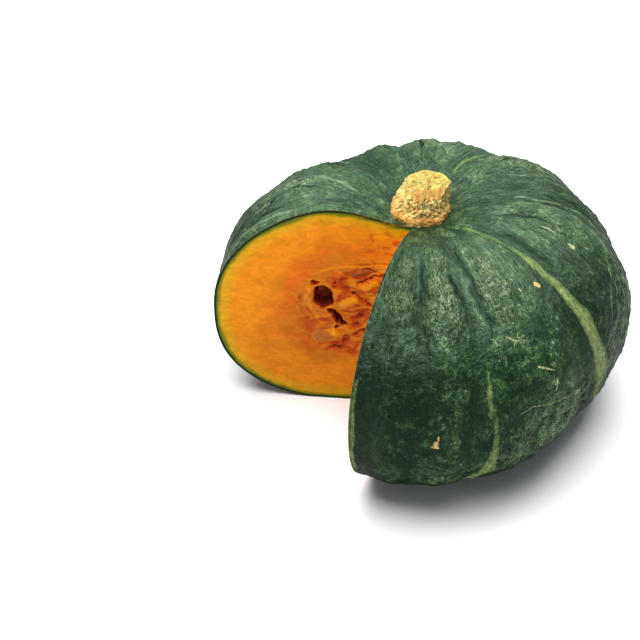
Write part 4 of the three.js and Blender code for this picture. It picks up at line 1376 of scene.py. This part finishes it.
def makeCorkScales():
    # small flakes of cork scattered over the stem's side, thickest where "flaky" is high
    nodes, entry = newGroup(
        "corkScales", "GeometryNodeTree", {"Geometry": "Geometry", **corkFlakes, "Cork": "Material"},
        {"Geometry": "Geometry"})
    density = nodes.stored("flaky") * entry["Count"]
    scatter = nodes.add("GeometryNodeDistributePointsOnFaces", distribute_method="RANDOM",
                        in_Mesh=entry["Geometry"], in_Density=density, in_Seed=entry["Seed"])
    points, normal = (Field(nodes, scatter.outputs[key]) for key in ("Points", "Normal"))
    # one flake: a small lump with flat faces, pushed out of shape and flattened
    lump = nodes.out("GeometryNodeMeshIcoSphere", "Mesh", in_Radius=1.0, in_Subdivisions=1)
    push = nodes.noise(nodes.out("GeometryNodeInputPosition"), 1.1, 1, key="Color")
    push = nodes.vector("MULTIPLY_ADD", in_0=push, in_1=(1.4, 1.4, 0.8), in_2=(-0.7, -0.7, -0.4))
    lump = nodes.out("GeometryNodeSetPosition", in_Geometry=lump, in_Offset=push)
    lump = nodes.out("GeometryNodeSetShadeSmooth", in_Geometry=lump, in_Shade_Smooth=False)
    flake = nodes.out("GeometryNodeTransform", in_Geometry=lump, in_Scale=(0.9, 1.2, 0.4))
    turn = nodes.out("FunctionNodeRandomValue", data_type="FLOAT_VECTOR", in_0=(-0.16, -0.2, -0.2),
                     in_1=(0.16, 0.2, 0.2), in_Seed=entry["Seed"])
    size = nodes.out("FunctionNodeRandomValue", 1, data_type="FLOAT", in_2=0.45, in_3=1.35,
                     in_Seed=entry["Seed"])
    # flat on the cork with its long side upright
    flat = nodes.out("FunctionNodeAlignRotationToVector", axis="Z", pivot_axis="AUTO", in_Vector=normal)
    upright = nodes.out("FunctionNodeAlignRotationToVector", axis="Y", pivot_axis="Z", in_Vector=(0, 0, 1),
                        in_Rotation=flat)
    placed = nodes.out("GeometryNodeInstanceOnPoints", in_Points=points, in_Instance=flake,
                       in_Rotation=upright, in_Scale=size * entry["Size"])
    tumbled = nodes.out("GeometryNodeRotateInstances", in_Instances=placed, in_Rotation=turn)
    both = nodes.add("GeometryNodeJoinGeometry", in_0=tumbled)
    nodes.put(both.inputs[0], entry["Geometry"])
    real = nodes.out("GeometryNodeRealizeInstances", in_0=nodes.outs(both)[0])
    corky = nodes.out("GeometryNodeSetMaterial", in_Geometry=real, in_Material=entry["Cork"])
    return nodes.leave(Geometry=corky)


corkMaterial = makeCorkMaterial()
stemPiece = makeStem(corkMaterial)
applyNodes(stemPiece, makeCorkScales(), {**corkFlakes, "Cork": corkMaterial})
print(f"stem made: {len(stemPiece.data.polygons)} faces")


studio = {
    "floorSize": 6.0, "floorTone": (0.86, 0.86, 0.87, 1), "mirroredTone": (0.2, 0.2, 0.2, 1),
    "sky": (0.90, 0.94, 1.0, 1), "world": 0.24, "mirroredWorld": 0.05, "floorRoughness": 0.7,
    # place, target, width and depth, watts, whether glossy things mirror it
    "softboxes": {"key_softbox": ((-0.08, 0.16, 1.2), (0, 0.12, 0), (1.5, 1.3), 41.5, True),
                  "left_fill": ((-1.3, -0.8, 0.5), (0, 0, 0.05), (0.7, 0.7), 1.6, False)},
}


def makeSoftbox(name, place, target, size, power, mirrored):
    light = bpy.data.lights.new(name, "AREA")
    light.shape = "RECTANGLE"
    light.size, light.size_y = size
    light.energy = power
    lamp = bpy.data.objects.new(name, light)
    lamp.location = place
    lamp.rotation_euler = (Vector(target) - Vector(place)).to_track_quat("-Z", "Y").to_euler()
    lamp.visible_glossy = mirrored
    scene.collection.objects.link(lamp)


def makeStudio():
    mesh = bpy.data.meshes.new("floor")
    half = studio["floorSize"] / 2
    corners = [(-half, -half, 0), (half, -half, 0), (half, half, 0), (-half, half, 0)]
    mesh.from_pydata(corners, [], [(0, 1, 2, 3)])
    floor = bpy.data.objects.new("floor", mesh)
    scene.collection.objects.link(floor)
    material, nodes = newMaterial("floor_white")
    # where glossy things mirror the floor, it is dark card
    mirrored = nodes.out("ShaderNodeLightPath", "Is Glossy Ray")
    nodes.dress(Base_Color=nodes.mix(mirrored, studio["floorTone"], studio["mirroredTone"]),
                Roughness=studio["floorRoughness"])
    mesh.materials.append(material)
    world = bpy.data.worlds.new("studio")
    world.use_nodes = True
    # the room is dim, and a little brighter where it shows along the edges of glossy things
    nodes = Nodes(world.node_tree)
    sky = world.node_tree.nodes["Background"]
    sky.inputs["Color"].default_value = studio["sky"]
    mirrored = nodes.out("ShaderNodeLightPath", "Is Glossy Ray")
    nodes.put(sky.inputs["Strength"], mirrored * studio["mirroredWorld"] + studio["world"])
    nodes.arrange()
    scene.world = world
    for name, values in studio["softboxes"].items():
        makeSoftbox(name, *values)
    scene.view_settings.view_transform = "Standard"


makeStudio()
print("floor and lights made")

for piece, node, slot in ((fruit, "fruit", "rind_and_flesh"), (pulp, "pulp", "pulp"),
                          (stemPiece, "stem", "corky_stem"),
                          *((piece, name, "seed") for name, piece in seeds.items())):
    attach(piece, "root")
    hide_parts(node)
